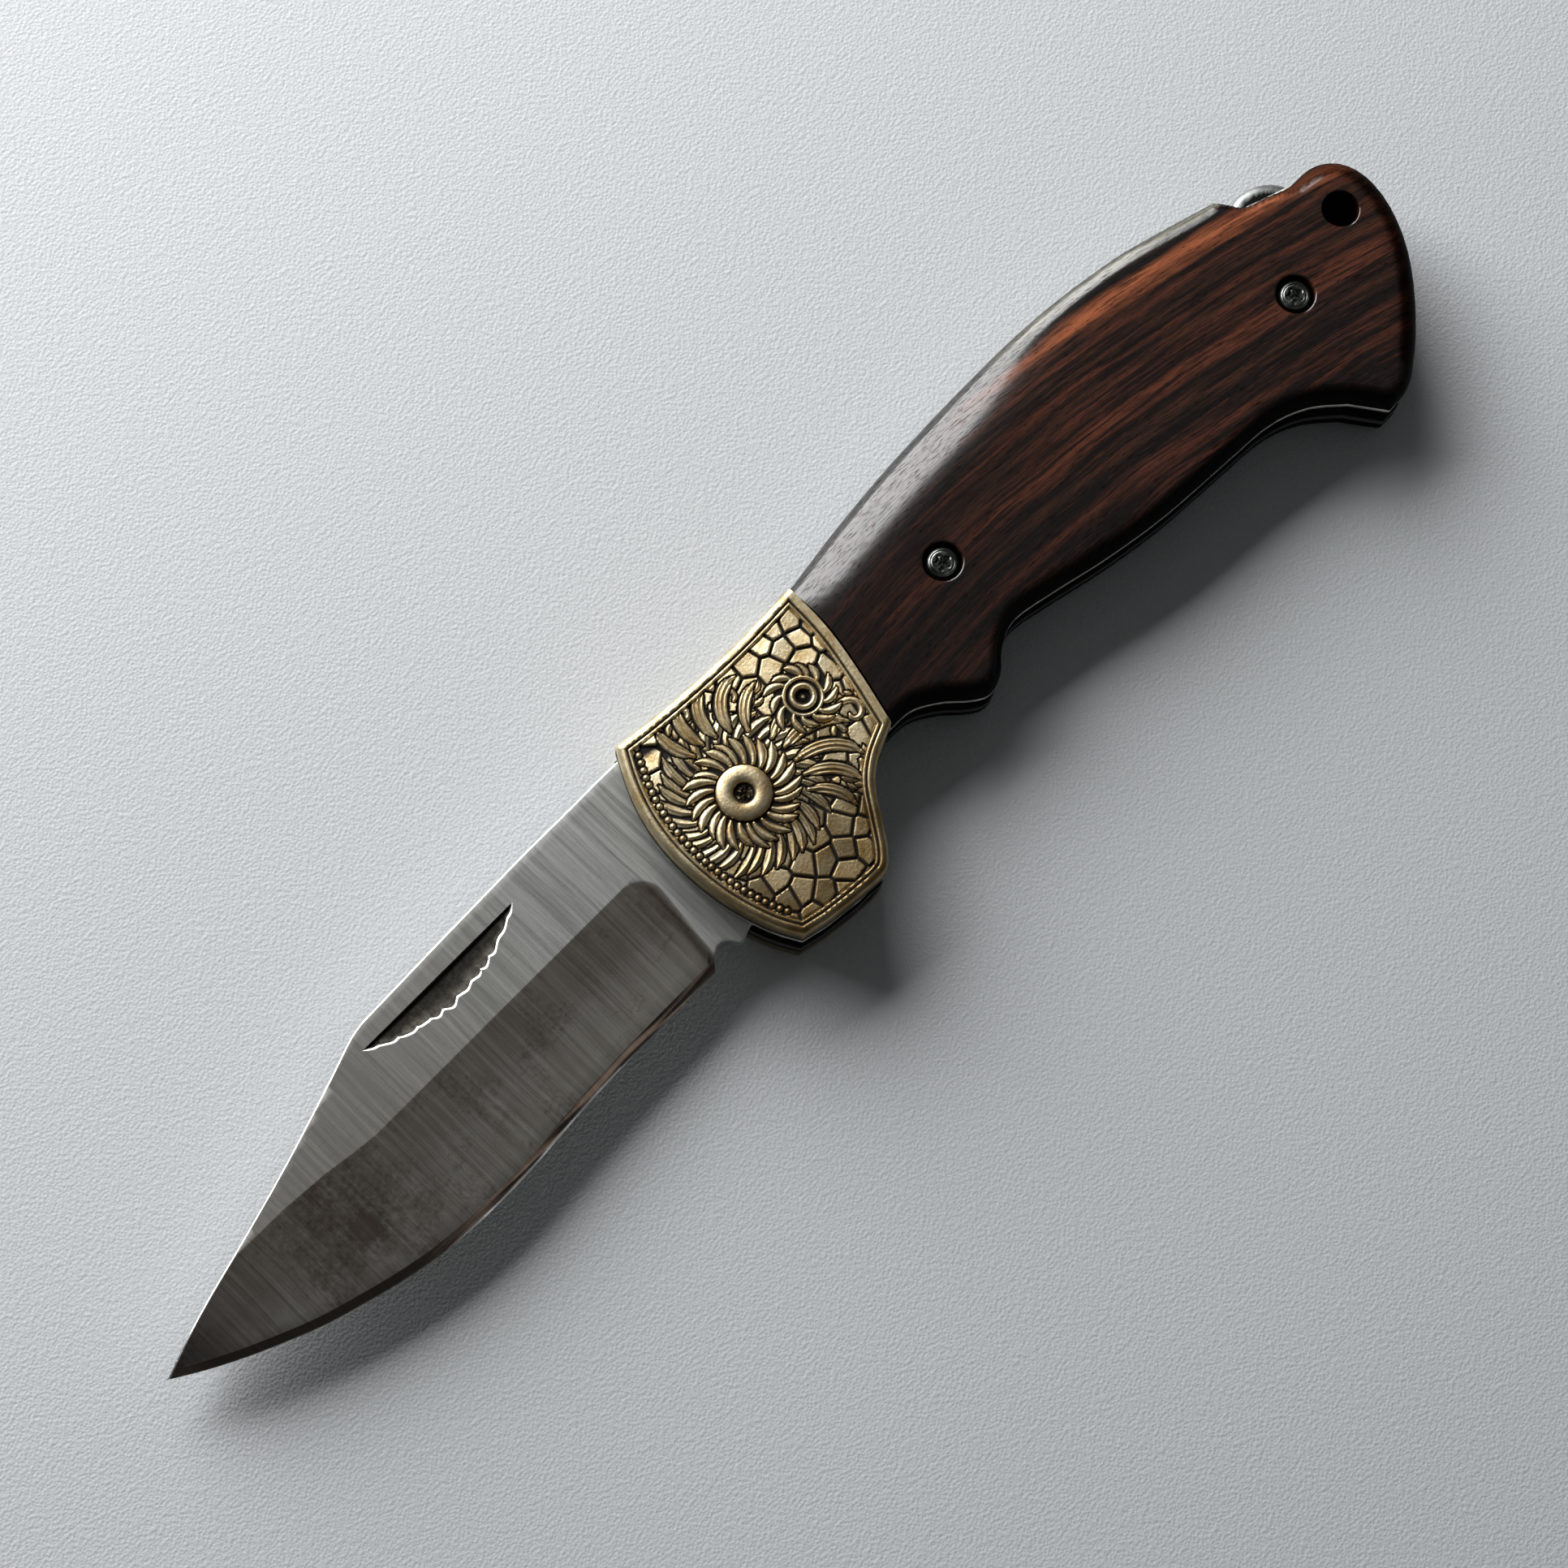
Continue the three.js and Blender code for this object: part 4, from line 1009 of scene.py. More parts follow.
# The same outline, run on past the joint, so that the rounding goes straight through there
def pastJoint(outline, corners, atRear, reach):
    first, last = jointCorners(outline, corners, atRear)
    top, bottom = (first, last) if outline[first, 1] > outline[last, 1] else (last, first)
    start, end = (top, bottom) if atRear else (bottom, top)
    kept = np.roll(outline, -start, axis=0)[:(end - start) % len(outline) + 1]
    along = 6
    before = (kept[0] - kept[along]) / np.linalg.norm(kept[0] - kept[along])
    after = (kept[-1] - kept[-1 - along]) / np.linalg.norm(kept[-1] - kept[-1 - along])
    return np.vstack([kept, kept[-1] + reach * after, kept[0] + reach * before])


# Draws part of an outline inwards, so that what lies under it shows as a thin line.
def drawnIn(outline, chosen, depth):
    ahead = np.roll(outline, -1, axis=0) - np.roll(outline, 1, axis=0)
    inward = np.stack([-ahead[:, 1], ahead[:, 0]], axis=1) / np.linalg.norm(ahead, axis=1)[:, None]
    return outline + inward * (depth * eased(chosen.astype(float), 6))[:, None]


def makeScales():
    shape = scaleShape
    loops = sectionLoops("near_scale", layers["nearSection"])
    outline, corners = smoothed(loops[0], step=0.3)
    outline = drawnIn(outline, inNotch(outline), shape["notchShows"])
    longer = pastJoint(outline, corners, False, shape["pastJoint"])
    holes = []
    for at, radius in roundHoles(loops[1:]):
        isScrew = radius < 2
        rim = shape["recessRadius"] if isScrew else radius
        soft = shape["softRim"]
        steps = [(rim + out * soft, layers["top"] - down * soft) for out, down in shape["softSteps"]]
        if isScrew:
            floor = layers["top"] - shape["recessFloor"]
            steps += [(rim, floor), (radius, floor)]
        holes.append({"at": at, "radius": rim + soft, "steps": steps})
    bm = trimmedSheet(outline, corners, [(h["at"], h["radius"]) for h in holes], shape["spacing"])
    reach = longer[:, 0].max()
    rims = [shape["rims"][sideOf(x, y, reach, True)] for x, y in longer]
    zones = bm.verts.layers.float_color.new("zones")
    verts, places, share = roundOver(bm, longer, easedSides(longer, rims, passes=90), layers["top"])
    for vert, (x, y), part in zip(verts, places, share):
        side = sideOf(x, y, reach, True)
        # painted shade on the rounded rims and walls, strongest on the belly
        rim = shape["darkRims"][side] * float(smoothStep(*shape["darkFrom"][side], part))
        bareAndShaded = float(smoothStep(*shape["bareAndShadeFrom"][side], part))
        vert[zones] = (bareAndShaded, rim, 0, 1)
    bridged = overNotch(longer)
    crowns = np.array([shape["crowns"][sideOf(x, y, reach, False)] for x, y in bridged])
    along = bridged[:, 0]
    least = shape["crownLeast"]
    crowns[:, 1] *= least + (1 - least) * smoothStep(*shape["crownGrows"], along)
    crowns[:, 1] *= 1 - shape["crownLoss"] * smoothStep(*shape["crownFades"], along)
    crownFace(verts, places, bridged, easedSides(bridged, crowns, passes=200))
    dropBorder(bm, holes, layers["nearBase"])
    bmesh.ops.recalc_face_normals(bm, faces=bm.faces)
    other = bm.copy()
    turnOver(other)
    putPiece(bm, "near_scale_wood", "dark_wood", "handle", ["near_scale"])
    putPiece(other, "far_scale_wood", "dark_wood", "handle", ["far_scale"])


makeScales()
print("scales made")


# Bolsters: brass plates with a rounded rim round a sunk field of carving
bolsterShape = {
    "spacing": 0.108,
    "rim": (0.9, 0.9),
    "field": 0.7,             # how far the floor of the carving lies below the rim
    "rimFlat": 0.98,
    "groove": (1.16, 0.34),    # place and depth of the line inside the rim
    "ridge": (1.46, 0.12),     # place of the thin inner ridge, and how far it lies below the rim
    "fieldStart": 1.68,
    "pastJoint": 8,
    "pivot": 3.65,
    "rivetAt": (13.8, 3.3),
    "rivet": 1.95,
    "rivetFloor": 1.6,
    "pivotFloor": 1.2,
    "collar": (2.4, 0.26, 0.45),     # radius, half width and height of the ring round the rivet
    # the row of pearls runs in front of the first value and above the second
    "pearl": {"inset": 2.4, "radius": 0.42, "pitch": 0.98, "crest": 0.42, "ends": (-6.9, -15.5)},
    "farPetals": {"count": 34, "reach": (6.3, 10.6), "width": 0.66, "swirl": -0.3, "crest": 0.44},
    "nearPetals": {"count": 25, "reach": (3.9, 7.2), "width": 0.6, "swirl": 0.3, "crest": 0.52},
    "lobes": {"count": 13, "reach": (2.7, 4.6), "width": 0.52, "swirl": 0.5, "crest": 0.48},
    # root, length, heading at its root and at its point, half width
    "plumes": [((-1.0, 7.6), 6.0, 120, 70, 0.85), ((0.8, 7.8), 6.6, 105, 40, 0.9),
               ((2.6, 7.4), 7.4, 92, 10, 0.95), ((4.4, 6.6), 7.8, 76, -8, 1.0),
               ((6.0, 5.2), 6.4, 60, 4, 0.85), ((7.4, 2.4), 8.6, 24, -40, 1.0),
               ((7.7, 0.5), 9.2, 6, -62, 1.05), ((7.5, -1.6), 9.0, -10, -78, 1.0),
               ((6.9, -3.6), 7.8, -24, -88, 0.9), ((5.9, -5.3), 6.6, -38, -98, 0.8)],
    "plumeCuts": (0.56, 0.6),  # pitch and depth of the lines along a plume
    # middle, first radius, how much it grows, and the angles at which a stem starts and ends
    "stems": [((7.2, 9.4), 0.5, 2.2, -60, 330), ((16.6, -2.4), 0.4, 2.0, 170, 560),
              ((11.2, -7.0), 0.35, 1.5, 20, 350), ((1.6, 12.0), 0.3, 1.1, -160, 190)],
    "stemLeaves": 7,
    # cobbles: pitch along and across, how far one strays, its height, tilt and lean, joint and shoulder
    "cobble": {"pitch": 3.1, "rowPitch": 0.87, "stray": 0.36, "crest": 0.4, "tilt": 0.06, "lean": 0.11,
               "joint": 0.1, "shoulder": 0.14},
    "moat": 0.15,
    "seed": 11,
}


# Height of one carved leaf: a tapered raised stroke along a path, with lines cut along it and a
# sunk line all round it that clears what was carved there before.
def addLeaf(height, places, path, widths, crest, lines=0.0, cut=0.0):
    path, moat = np.array(path), bolsterShape["moat"]
    reach = max(widths) + moat
    low, high = path.min(axis=0) - reach, path.max(axis=0) + reach
    chosen = np.where(np.all((places > low) & (places < high), axis=1))[0]
    if not len(chosen):
        return
    part = places[chosen]
    run = path[1:] - path[:-1]
    square = np.sum(run * run, axis=1)
    apart = part[:, None, :] - path[None, :-1]
    share = np.clip(np.sum(apart * run[None], axis=2) / square, 0, 1)
    off = apart - share[..., None] * run[None]
    far = np.sum(off ** 2, axis=2)
    best = np.argmin(far, axis=1)
    rows = np.arange(len(part))
    along = (best + share[rows, best]) / len(run)
    distance = np.sqrt(far[rows, best])
    half = np.interp(along, np.linspace(0, 1, len(widths)), widths)
    body = np.clip(1 - (distance / np.maximum(half, 0.02)) ** 2, 0, 1)
    raised = crest * body ** 0.5
    if lines:
        waves = 0.5 + 0.5 * np.cos(2 * np.pi * distance / lines)
        raised = raised * (1 - cut * (1 - waves) * (half > 0.3))
    covered = distance < half + moat
    height[chosen[covered]] = raised[covered]


# A ring of petals round a middle, each a little different
def petalRing(height, places, centre, spec, chance, lines=0.0):
    near, far = spec["reach"]
    for k in range(spec["count"]):
        angle = 2 * math.pi * (k + 0.2 * chance.uniform(-1, 1)) / spec["count"]
        long = far + 0.6 * chance.uniform(-1, 0.5)
        path = []
        for i in range(6):
            share = i / 5
            radius = near + share * (long - near)
            bend = angle + spec["swirl"] * share ** 1.4
            path.append((centre[0] + radius * math.cos(bend), centre[1] + radius * math.sin(bend)))
        width = spec["width"] * chance.uniform(0.85, 1.05)
        widths = [0.45 * width, 0.7 * width, 0.92 * width, width, 0.85 * width, 0.1]
        addLeaf(height, places, path, widths, spec["crest"] * chance.uniform(0.85, 1.0), lines, 0.35)


def arcPath(centre, radius, grow, start, end, count):
    path = []
    for i in range(count):
        share = i / (count - 1)
        angle = math.radians(start + share * (end - start))
        reach = radius + grow * share
        path.append((centre[0] + reach * math.cos(angle), centre[1] + reach * math.sin(angle)))
    return path


# Scrolls: leaves along the outer part of each curl, then the curling stem over them
def addScrolls(height, places, chance):
    count = bolsterShape["stemLeaves"]
    for centre, radius, grow, start, end in bolsterShape["stems"]:
        for k in range(count):
            share = (k + 1) / count
            angle = math.radians(start + (end - start) * (0.45 + 0.55 * share))
            reach = radius + grow * (0.45 + 0.55 * share) + 0.35
            root = np.array(centre) + reach * np.array((math.cos(angle), math.sin(angle)))
            lean = angle + 0.75
            long = (1.0 + 0.9 * share) * chance.uniform(0.85, 1.1)
            middle = root + 0.55 * long * np.array((math.cos(lean), math.sin(lean)))
            point = middle + 0.5 * long * np.array((math.cos(lean + 0.45), math.sin(lean + 0.45)))
            addLeaf(height, places, [root, middle, point], [0.2, 0.42, 0.34, 0.06], 0.42)
        stem = arcPath(centre, radius, grow, start, end, 22)
        addLeaf(height, places, stem, [0.22, 0.36, 0.42, 0.44, 0.36], 0.5)


# Plumes: long leaves that spring from the rosette, cut along their length
def addPlumes(height, places):
    for root, long, start, end, width in bolsterShape["plumes"]:
        path = [np.array(root)]
        for k in range(12):
            angle = math.radians(start + (end - start) * (k / 11) ** 1.3)
            path.append(path[-1] + long / 12 * np.array((math.cos(angle), math.sin(angle))))
        widths = [0.35 * width, 0.75 * width, width, 0.95 * width, 0.7 * width, 0.1]
        addLeaf(height, places, path, widths, 0.52, *bolsterShape["plumeCuts"])


# Cobbles above the pivot lean towards the spine.
def cobbleLean(y):
    return bolsterShape["cobble"]["lean"] * min(max((y - 1) / 6, 0), 1)


# The ground of the carving: flat-topped cobbles with narrow joints
def cobbles(places, chance):
    spec = bolsterShape["cobble"]
    low, high = places.min(axis=0) - 2, places.max(axis=0) + 2
    pitch, tilt = spec["pitch"], spec["tilt"]
    reach = spec["stray"] * pitch
    seeds = []
    for j, y in enumerate(np.arange(low[1], high[1], pitch * spec["rowPitch"])):
        for x in np.arange(low[0] + (j % 2) * pitch / 2, high[0], pitch):
            seeds.append((x + chance.uniform(-reach, reach), y + chance.uniform(-reach, reach),
                          chance.uniform(-tilt, tilt), chance.uniform(-tilt, tilt) - cobbleLean(y),
                          chance.uniform(0.75, 1)))
    tree = kdtree.KDTree(len(seeds))
    for i, seed in enumerate(seeds):
        tree.insert((seed[0], seed[1], 0), i)
    tree.balance()
    height = np.zeros(len(places))
    for k, (x, y) in enumerate(places):
        (first, i, near), (second, j, far) = tree.find_n((x, y, 0), 2)
        across = (second - first).length
        border = (far * far - near * near) / (2 * across)
        leanX, leanY, tall = seeds[i][2:]
        slope = leanX * (x - first.x) + leanY * (y - first.y)
        rise = min(max((border - spec["joint"]) / spec["shoulder"], 0), 1)
        height[k] = rise * (spec["crest"] * tall + slope)
    return np.clip(height, 0, 0.6)


# The row of pearls along the front of the bolster
def pearls(height, places, outline):
    spec = bolsterShape["pearl"]
    ahead = np.roll(outline, -1, axis=0) - np.roll(outline, 1, axis=0)
    inward = np.stack([-ahead[:, 1], ahead[:, 0]], axis=1)
    inward /= np.linalg.norm(inward, axis=1)[:, None]
    line = outline + inward * spec["inset"]
    rear, lowest = spec["ends"]
    row = line[(outline[:, 0] < rear) & (outline[:, 1] > lowest)]
    row = row[np.argsort(row[:, 1])]
    steps = np.concatenate([[0], np.cumsum(np.linalg.norm(np.diff(row, axis=0), axis=1))])
    for at in np.arange(0.4, steps[-1] - 0.3, spec["pitch"]):
        x, y = np.interp(at, steps, row[:, 0]), np.interp(at, steps, row[:, 1])
        away = np.hypot(places[:, 0] - x, places[:, 1] - y) / spec["radius"]
        near = away < 1.4
        height[near] = spec["crest"] * np.sqrt(np.clip(1 - away[near] ** 2, 0, 1))


# Height of the carving above its floor, at each place of a bolster's face. What is carved later
# lies over what was carved before.
def carving(places, outline):
    shape = bolsterShape
    chance = random.Random(shape["seed"])
    height = cobbles(places, chance)
    around = np.hypot(places[:, 0], places[:, 1])
    fromRivet = np.hypot(places[:, 0] - shape["rivetAt"][0], places[:, 1] - shape["rivetAt"][1])
    addScrolls(height, places, chance)
    petalRing(height, places, (0, 0), shape["farPetals"], chance, 0.62)
    addPlumes(height, places)
    height[around < shape["nearPetals"]["reach"][0] + 1.4] = 0
    petalRing(height, places, (0, 0), shape["nearPetals"], chance)
    ring = shape["lobes"]["reach"][0] - 0.1
    height[fromRivet < ring + 1.0] = 0
    petalRing(height, places, shape["rivetAt"], shape["lobes"], chance)
    radius, half, tall = shape["collar"]
    collar = tall * np.clip(1 - ((fromRivet - radius) / half) ** 2, 0, 1) ** 0.5
    height = np.where(fromRivet < ring, collar, height)
    pearls(height, places, outline)
    return height


def makeBolsters():
    shape = bolsterShape
    loops = sectionLoops("near_bolster", layers["nearSection"])
    outline, corners = smoothed(loops[0], step=0.25, cornerAngle=44)
    through = roundHoles(loops[1:])
    holes = []
    for at, radius in through:
        isPivot = math.hypot(*at) < 1
        rim = shape["pivot"] if isPivot else shape["rivet"]
        floor = layers["top"] - (shape["pivotFloor"] if isPivot else shape["field"] + shape["rivetFloor"])
        holes.append({"at": at, "radius": rim, "steps": [(rim, floor), (radius, floor)]})
    bm = trimmedSheet(outline, corners, [(h["at"], h["radius"]) for h in holes], shape["spacing"])
    longer = pastJoint(outline, corners, True, shape["pastJoint"])
    rim = np.tile(shape["rim"], (len(longer), 1))
    zones = bm.verts.layers.float_color.new("zones")
    verts, places, _ = roundOver(bm, longer, rim, layers["top"])
    distance = nearestOnLoop(places, outline)[0]
    relief = carving(places, outline)
    groovePlace, grooveDepth = shape["groove"]
    ridgePlace, ridgeDrop = shape["ridge"]
    floor = shape["field"]
    border = np.interp(
        distance, [0, shape["rimFlat"], groovePlace - 0.06, groovePlace + 0.06, ridgePlace - 0.12,
                   ridgePlace + 0.12, shape["fieldStart"] + 0.05],
        [0, 0, -grooveDepth, -grooveDepth, -ridgeDrop, -ridgeDrop, -floor])
    inField = smoothStep(shape["fieldStart"] - 0.05, shape["fieldStart"] + 0.25, distance)
    height = border + relief * inField
    fade = 1 - smoothStep(0.08, 0.3, relief)
    line = np.exp(-((distance - groovePlace) / 0.13) ** 2)
    edge = np.exp(-((distance - shape["fieldStart"] - 0.1) / 0.16) ** 2) * (relief < 0.2)
    patina = np.maximum(np.maximum(fade * inField, line), edge)
    for vert, change, dark, rise in zip(verts, height, patina, relief * inField):
        vert.co.z += change * mm
        vert[zones] = (dark, rise / 0.46, 0, 1)
    dropBorder(bm, holes, layers["nearBase"])
    bmesh.ops.recalc_face_normals(bm, faces=bm.faces)
    other = bm.copy()
    turnOver(other)
    putPiece(bm, "near_bolster_carved", "antique_brass", "handle", ["near_bolster"], crisp=60)
    putPiece(other, "far_bolster_carved", "antique_brass", "handle", ["far_bolster"], crisp=60)


makeBolsters()
print("bolsters made")


# Blade: a sheet of rows that follow the edge, the grind line, the nick and the spine, doubled over
bladeShape = {
    "tangStart": -5.0,
    "tipTaper": 7.0,
    "grindLine": [(0, 2.9), (-60.5, 2.9), (-64, 3.3), (-68.2, 3.9), (-74.6, 4.4), (-84, 4.5)],
    "plunge": [(-11.0, -16.0), (-4.4, -15.2), (-0.5, -14.7), (3.0, -14.9)],   # height, reach
    "plungeWidth": 1.5,
    "plungeRound": 3.2,
    "bevelWidth": 1.25,
    "bevelHalf": 0.35,
    "edgeHalf": 0.08,
    "burr": (0.3, 0.1),        # width and height of the turned burr along the edge
    "burrReach": (-66, -57, -40, -28),   # where it fades in and out
    "spineRound": 0.25,
    "nickStart": -28.7,
    "nickEnd": -54.4,
    "nickTop": 11.3,
    "nickWidth": 3.6,
    "nickFullness": 0.8,
    "nickDepth": (0.42, 0.7),  # at its lower lip and at its top
    "nickLip": 0.28,
    "lipDrop": 0.16,
    "grindSoft": 0.07,         # rows this far above and below the grind line keep it crisp
    "lipSoft": 0.12,           # and these round the nick
    "ripples": 12,
    "rippleHeight": 0.52,
}


# Places along the blade from the tip to the tang, closest at the tip, the nick and the heel
def bladeStations(tip):
    shape = bladeShape
    spans = [(tip, tip + 6, 0.2), (tip + 6, shape["nickEnd"] - 1, 0.4), (shape["nickEnd"] - 1, -27.5, 0.2),
             (-27.5, -22, 0.3), (-22, -11, 0.15), (-11, shape["tangStart"], 0.3)]
    stations = []
    for low, high, step in spans:
        count = int(math.ceil((high - low) / step))
        stations += [low + (high - low) * k / count for k in range(count)]
    return np.array(stations + [shape["tangStart"]])


# Height of one side of an outline above each station
def pathHeights(path, stations):
    reach = np.maximum.accumulate(path[:, 0] + np.arange(len(path)) * 1e-7)
    return np.interp(stations, reach, path[:, 1])


# Height of the nail nick's rippled lower lip
def nickLower(x):
    shape = bladeShape
    share = np.clip((x - shape["nickStart"]) / (shape["nickEnd"] - shape["nickStart"]), 0, 1)
    swell = np.sin(np.pi * share)
    uneven = 0.75 + 0.3 * np.sin(23 * share + 1.2) + 0.2 * np.sin(61 * share)
    wave = np.abs(np.sin(np.pi * shape["ripples"] * (share + 0.012 * np.sin(19 * share))))
    drop = shape["nickWidth"] * np.maximum(swell, 0) ** shape["nickFullness"]
    return shape["nickTop"] - drop - shape["rippleHeight"] * swell ** 0.5 * uneven * wave


# Heights of the sheet's rows at each station, from the edge up to the spine
def bladeRowHeights(x, low, high):
    shape = bladeShape
    line = np.array(shape["grindLine"])[::-1]
    grind = np.minimum(np.interp(x, line[:, 0], line[:, 1]), high - 0.3)
    bevel = np.minimum(low + shape["bevelWidth"], grind - 0.2)
    bevel = np.maximum(bevel, low + 0.02)
    lip = nickLower(x)
    top = np.full_like(x, shape["nickTop"])
    soft = shape["spineRound"] * 1.1
    burr = shape["burr"][0] * np.clip((bevel - low) / shape["bevelWidth"], 0, 1)
    grindSoft, lipSoft = shape["grindSoft"], shape["lipSoft"]
    rows = [low, low + 0.5 * burr, low + burr]
    rows += [low + share * (bevel - low) for share in (0.35, 0.65, 0.93, 1)]
    rows += [bevel + share * (grind - grindSoft - bevel) for share in (0.12, 0.25, 0.38, 0.5, 0.6, 0.7, 0.76)]
    rows += [bevel + share * (grind - grindSoft - bevel) for share in np.linspace(0.78, 1, 15)]
    rows += [grind, grind + grindSoft]
    start = rows[-1]
    rows += [start + share * (lip - lipSoft - start) for share in np.linspace(0, 1, 8)[1:]]
    inner = np.minimum(lip + shape["nickLip"], top)
    rows += [lip - 0.03, lip + 0.3 * (inner - lip), lip + 0.65 * (inner - lip), inner]
    rows += [inner + share * (top - inner) for share in (0.25, 0.5, 0.75, 0.93)]
    rows += [top + 0.02, top + lipSoft]
    rows += [top + lipSoft + share * (high - soft - top - lipSoft) for share in (0.33, 0.66, 1)]
    rows += [high - soft * (1 - math.sin(turn)) for turn in (0.4, 0.8, 1.2, math.pi / 2)]
    rows = np.array(rows)
    last = len(rows) - 1
    limit = high[None] - (last - np.arange(len(rows)))[:, None] * np.minimum(0.012, (high - low) / 60)[None]
    rows = np.minimum(rows, limit)
    return np.maximum(rows, low[None]), grind, bevel, lip


# Height of the near face at each point of the sheet, and the masks for its finish, among them a painted
# highlight on the spine's rounding, the nick's lip and the burr
def bladeSurface(x, y, low, high, grind, bevel, lip):
    shape = bladeShape
    middle = layers["bladeMiddle"]
    half = layers["bladeTop"] - middle
    down = grind - y
    flank = (half - shape["bevelHalf"]) * np.clip(down / np.maximum(grind - bevel, 0.01), 0, 1)
    below = np.clip((bevel - y) / np.maximum(bevel - low, 0.01), 0, 1)
    wedge = flank + (shape["bevelHalf"] - shape["edgeHalf"]) * below
    burrWide, burrTall = shape["burr"]
    fadeIn, full, thin, gone = shape["burrReach"]
    worn = 0.12 + 0.88 * smoothStep(fadeIn, full, x) * (1 - smoothStep(thin, gone, x))
    uneven = 0.85 + 0.25 * np.sin(0.9 * x) * np.sin(0.37 * x + 1)
    curl = np.clip(1 - (y - low) / burrWide / worn, 0, 1) * (bevel - low > 0.6)
    wedge = wedge - burrTall * worn * uneven * curl
    plunge = np.array(shape["plunge"])
    ahead = np.interp(y, plunge[:, 0], plunge[:, 1]) - x
    turn = shape["plungeRound"]
    corner = turn - np.hypot(np.maximum(turn - down, 0), np.maximum(turn - ahead, 0))
    inGround = np.where((down < turn) & (ahead < turn), corner, np.minimum(down, ahead))
    ramp = smoothStep(0, shape["plungeWidth"], np.where(down > turn, ahead, ahead - (turn - down) * 0.25))
    z = half - wedge * ramp
    soft = shape["spineRound"]
    reach = np.clip((y - (high - soft * 1.1)) / (soft * 1.1), 0, 1)
    z = z - np.minimum(soft * (1 - np.sqrt(1 - reach ** 2)), 0.9 * z)
    heelSoft = np.clip(1 - (y - low) / 0.2, 0, 1) * (1 - ramp)
    z = z - 0.15 * heelSoft ** 2
    inNick = (y > lip - 0.02) & (y < shape["nickTop"] + 0.01) & (shape["nickTop"] - lip > 0.02)
    floorShare = np.clip((y - lip - shape["nickLip"]) / 3.0, 0, 1)
    floor = shape["nickDepth"][0] + floorShare * (shape["nickDepth"][1] - shape["nickDepth"][0])
    floor = floor * np.clip((shape["nickTop"] - lip) / 0.8, 0, 1)
    lipShare = np.clip((y - lip) / shape["nickLip"], 0, 1)
    past = smoothStep(shape["nickLip"], shape["nickLip"] + 0.5, y - lip)
    shallow = np.minimum(shape["lipDrop"] * lipShare ** 1.2, floor)
    z = z - np.where(inNick, shallow + (floor - shallow) * past, 0)
    z = z * (0.14 + 0.86 * smoothStep(0, shape["tipTaper"], x - x.min()))
    ground = smoothStep(-0.05, 0.09, inGround)
    edgeBand = smoothStep(0.01, 0.08, bevel - y) * ramp
    nickMask = np.where(inNick, smoothStep(0.9, 1.0, lipShare), 0)
    lipHighlight = np.where(inNick, 1 - smoothStep(0.9, 1.0, lipShare), 0) * (shape["nickTop"] - lip > 0.1)
    spineHighlight = smoothStep(0.05, 0.5, reach)
    stain = ramp * (1 - smoothStep(0.2, 2.6, ahead)) * smoothStep(-0.1, 0.4, inGround)
    # painted highlight on the spine's rounding, the nick's lip and the burr
    highlightAndPolish = np.maximum(np.maximum(spineHighlight, lipHighlight), (curl > 0.05) * worn)
    return middle + z, ground, edgeBand, nickMask, highlightAndPolish, stain


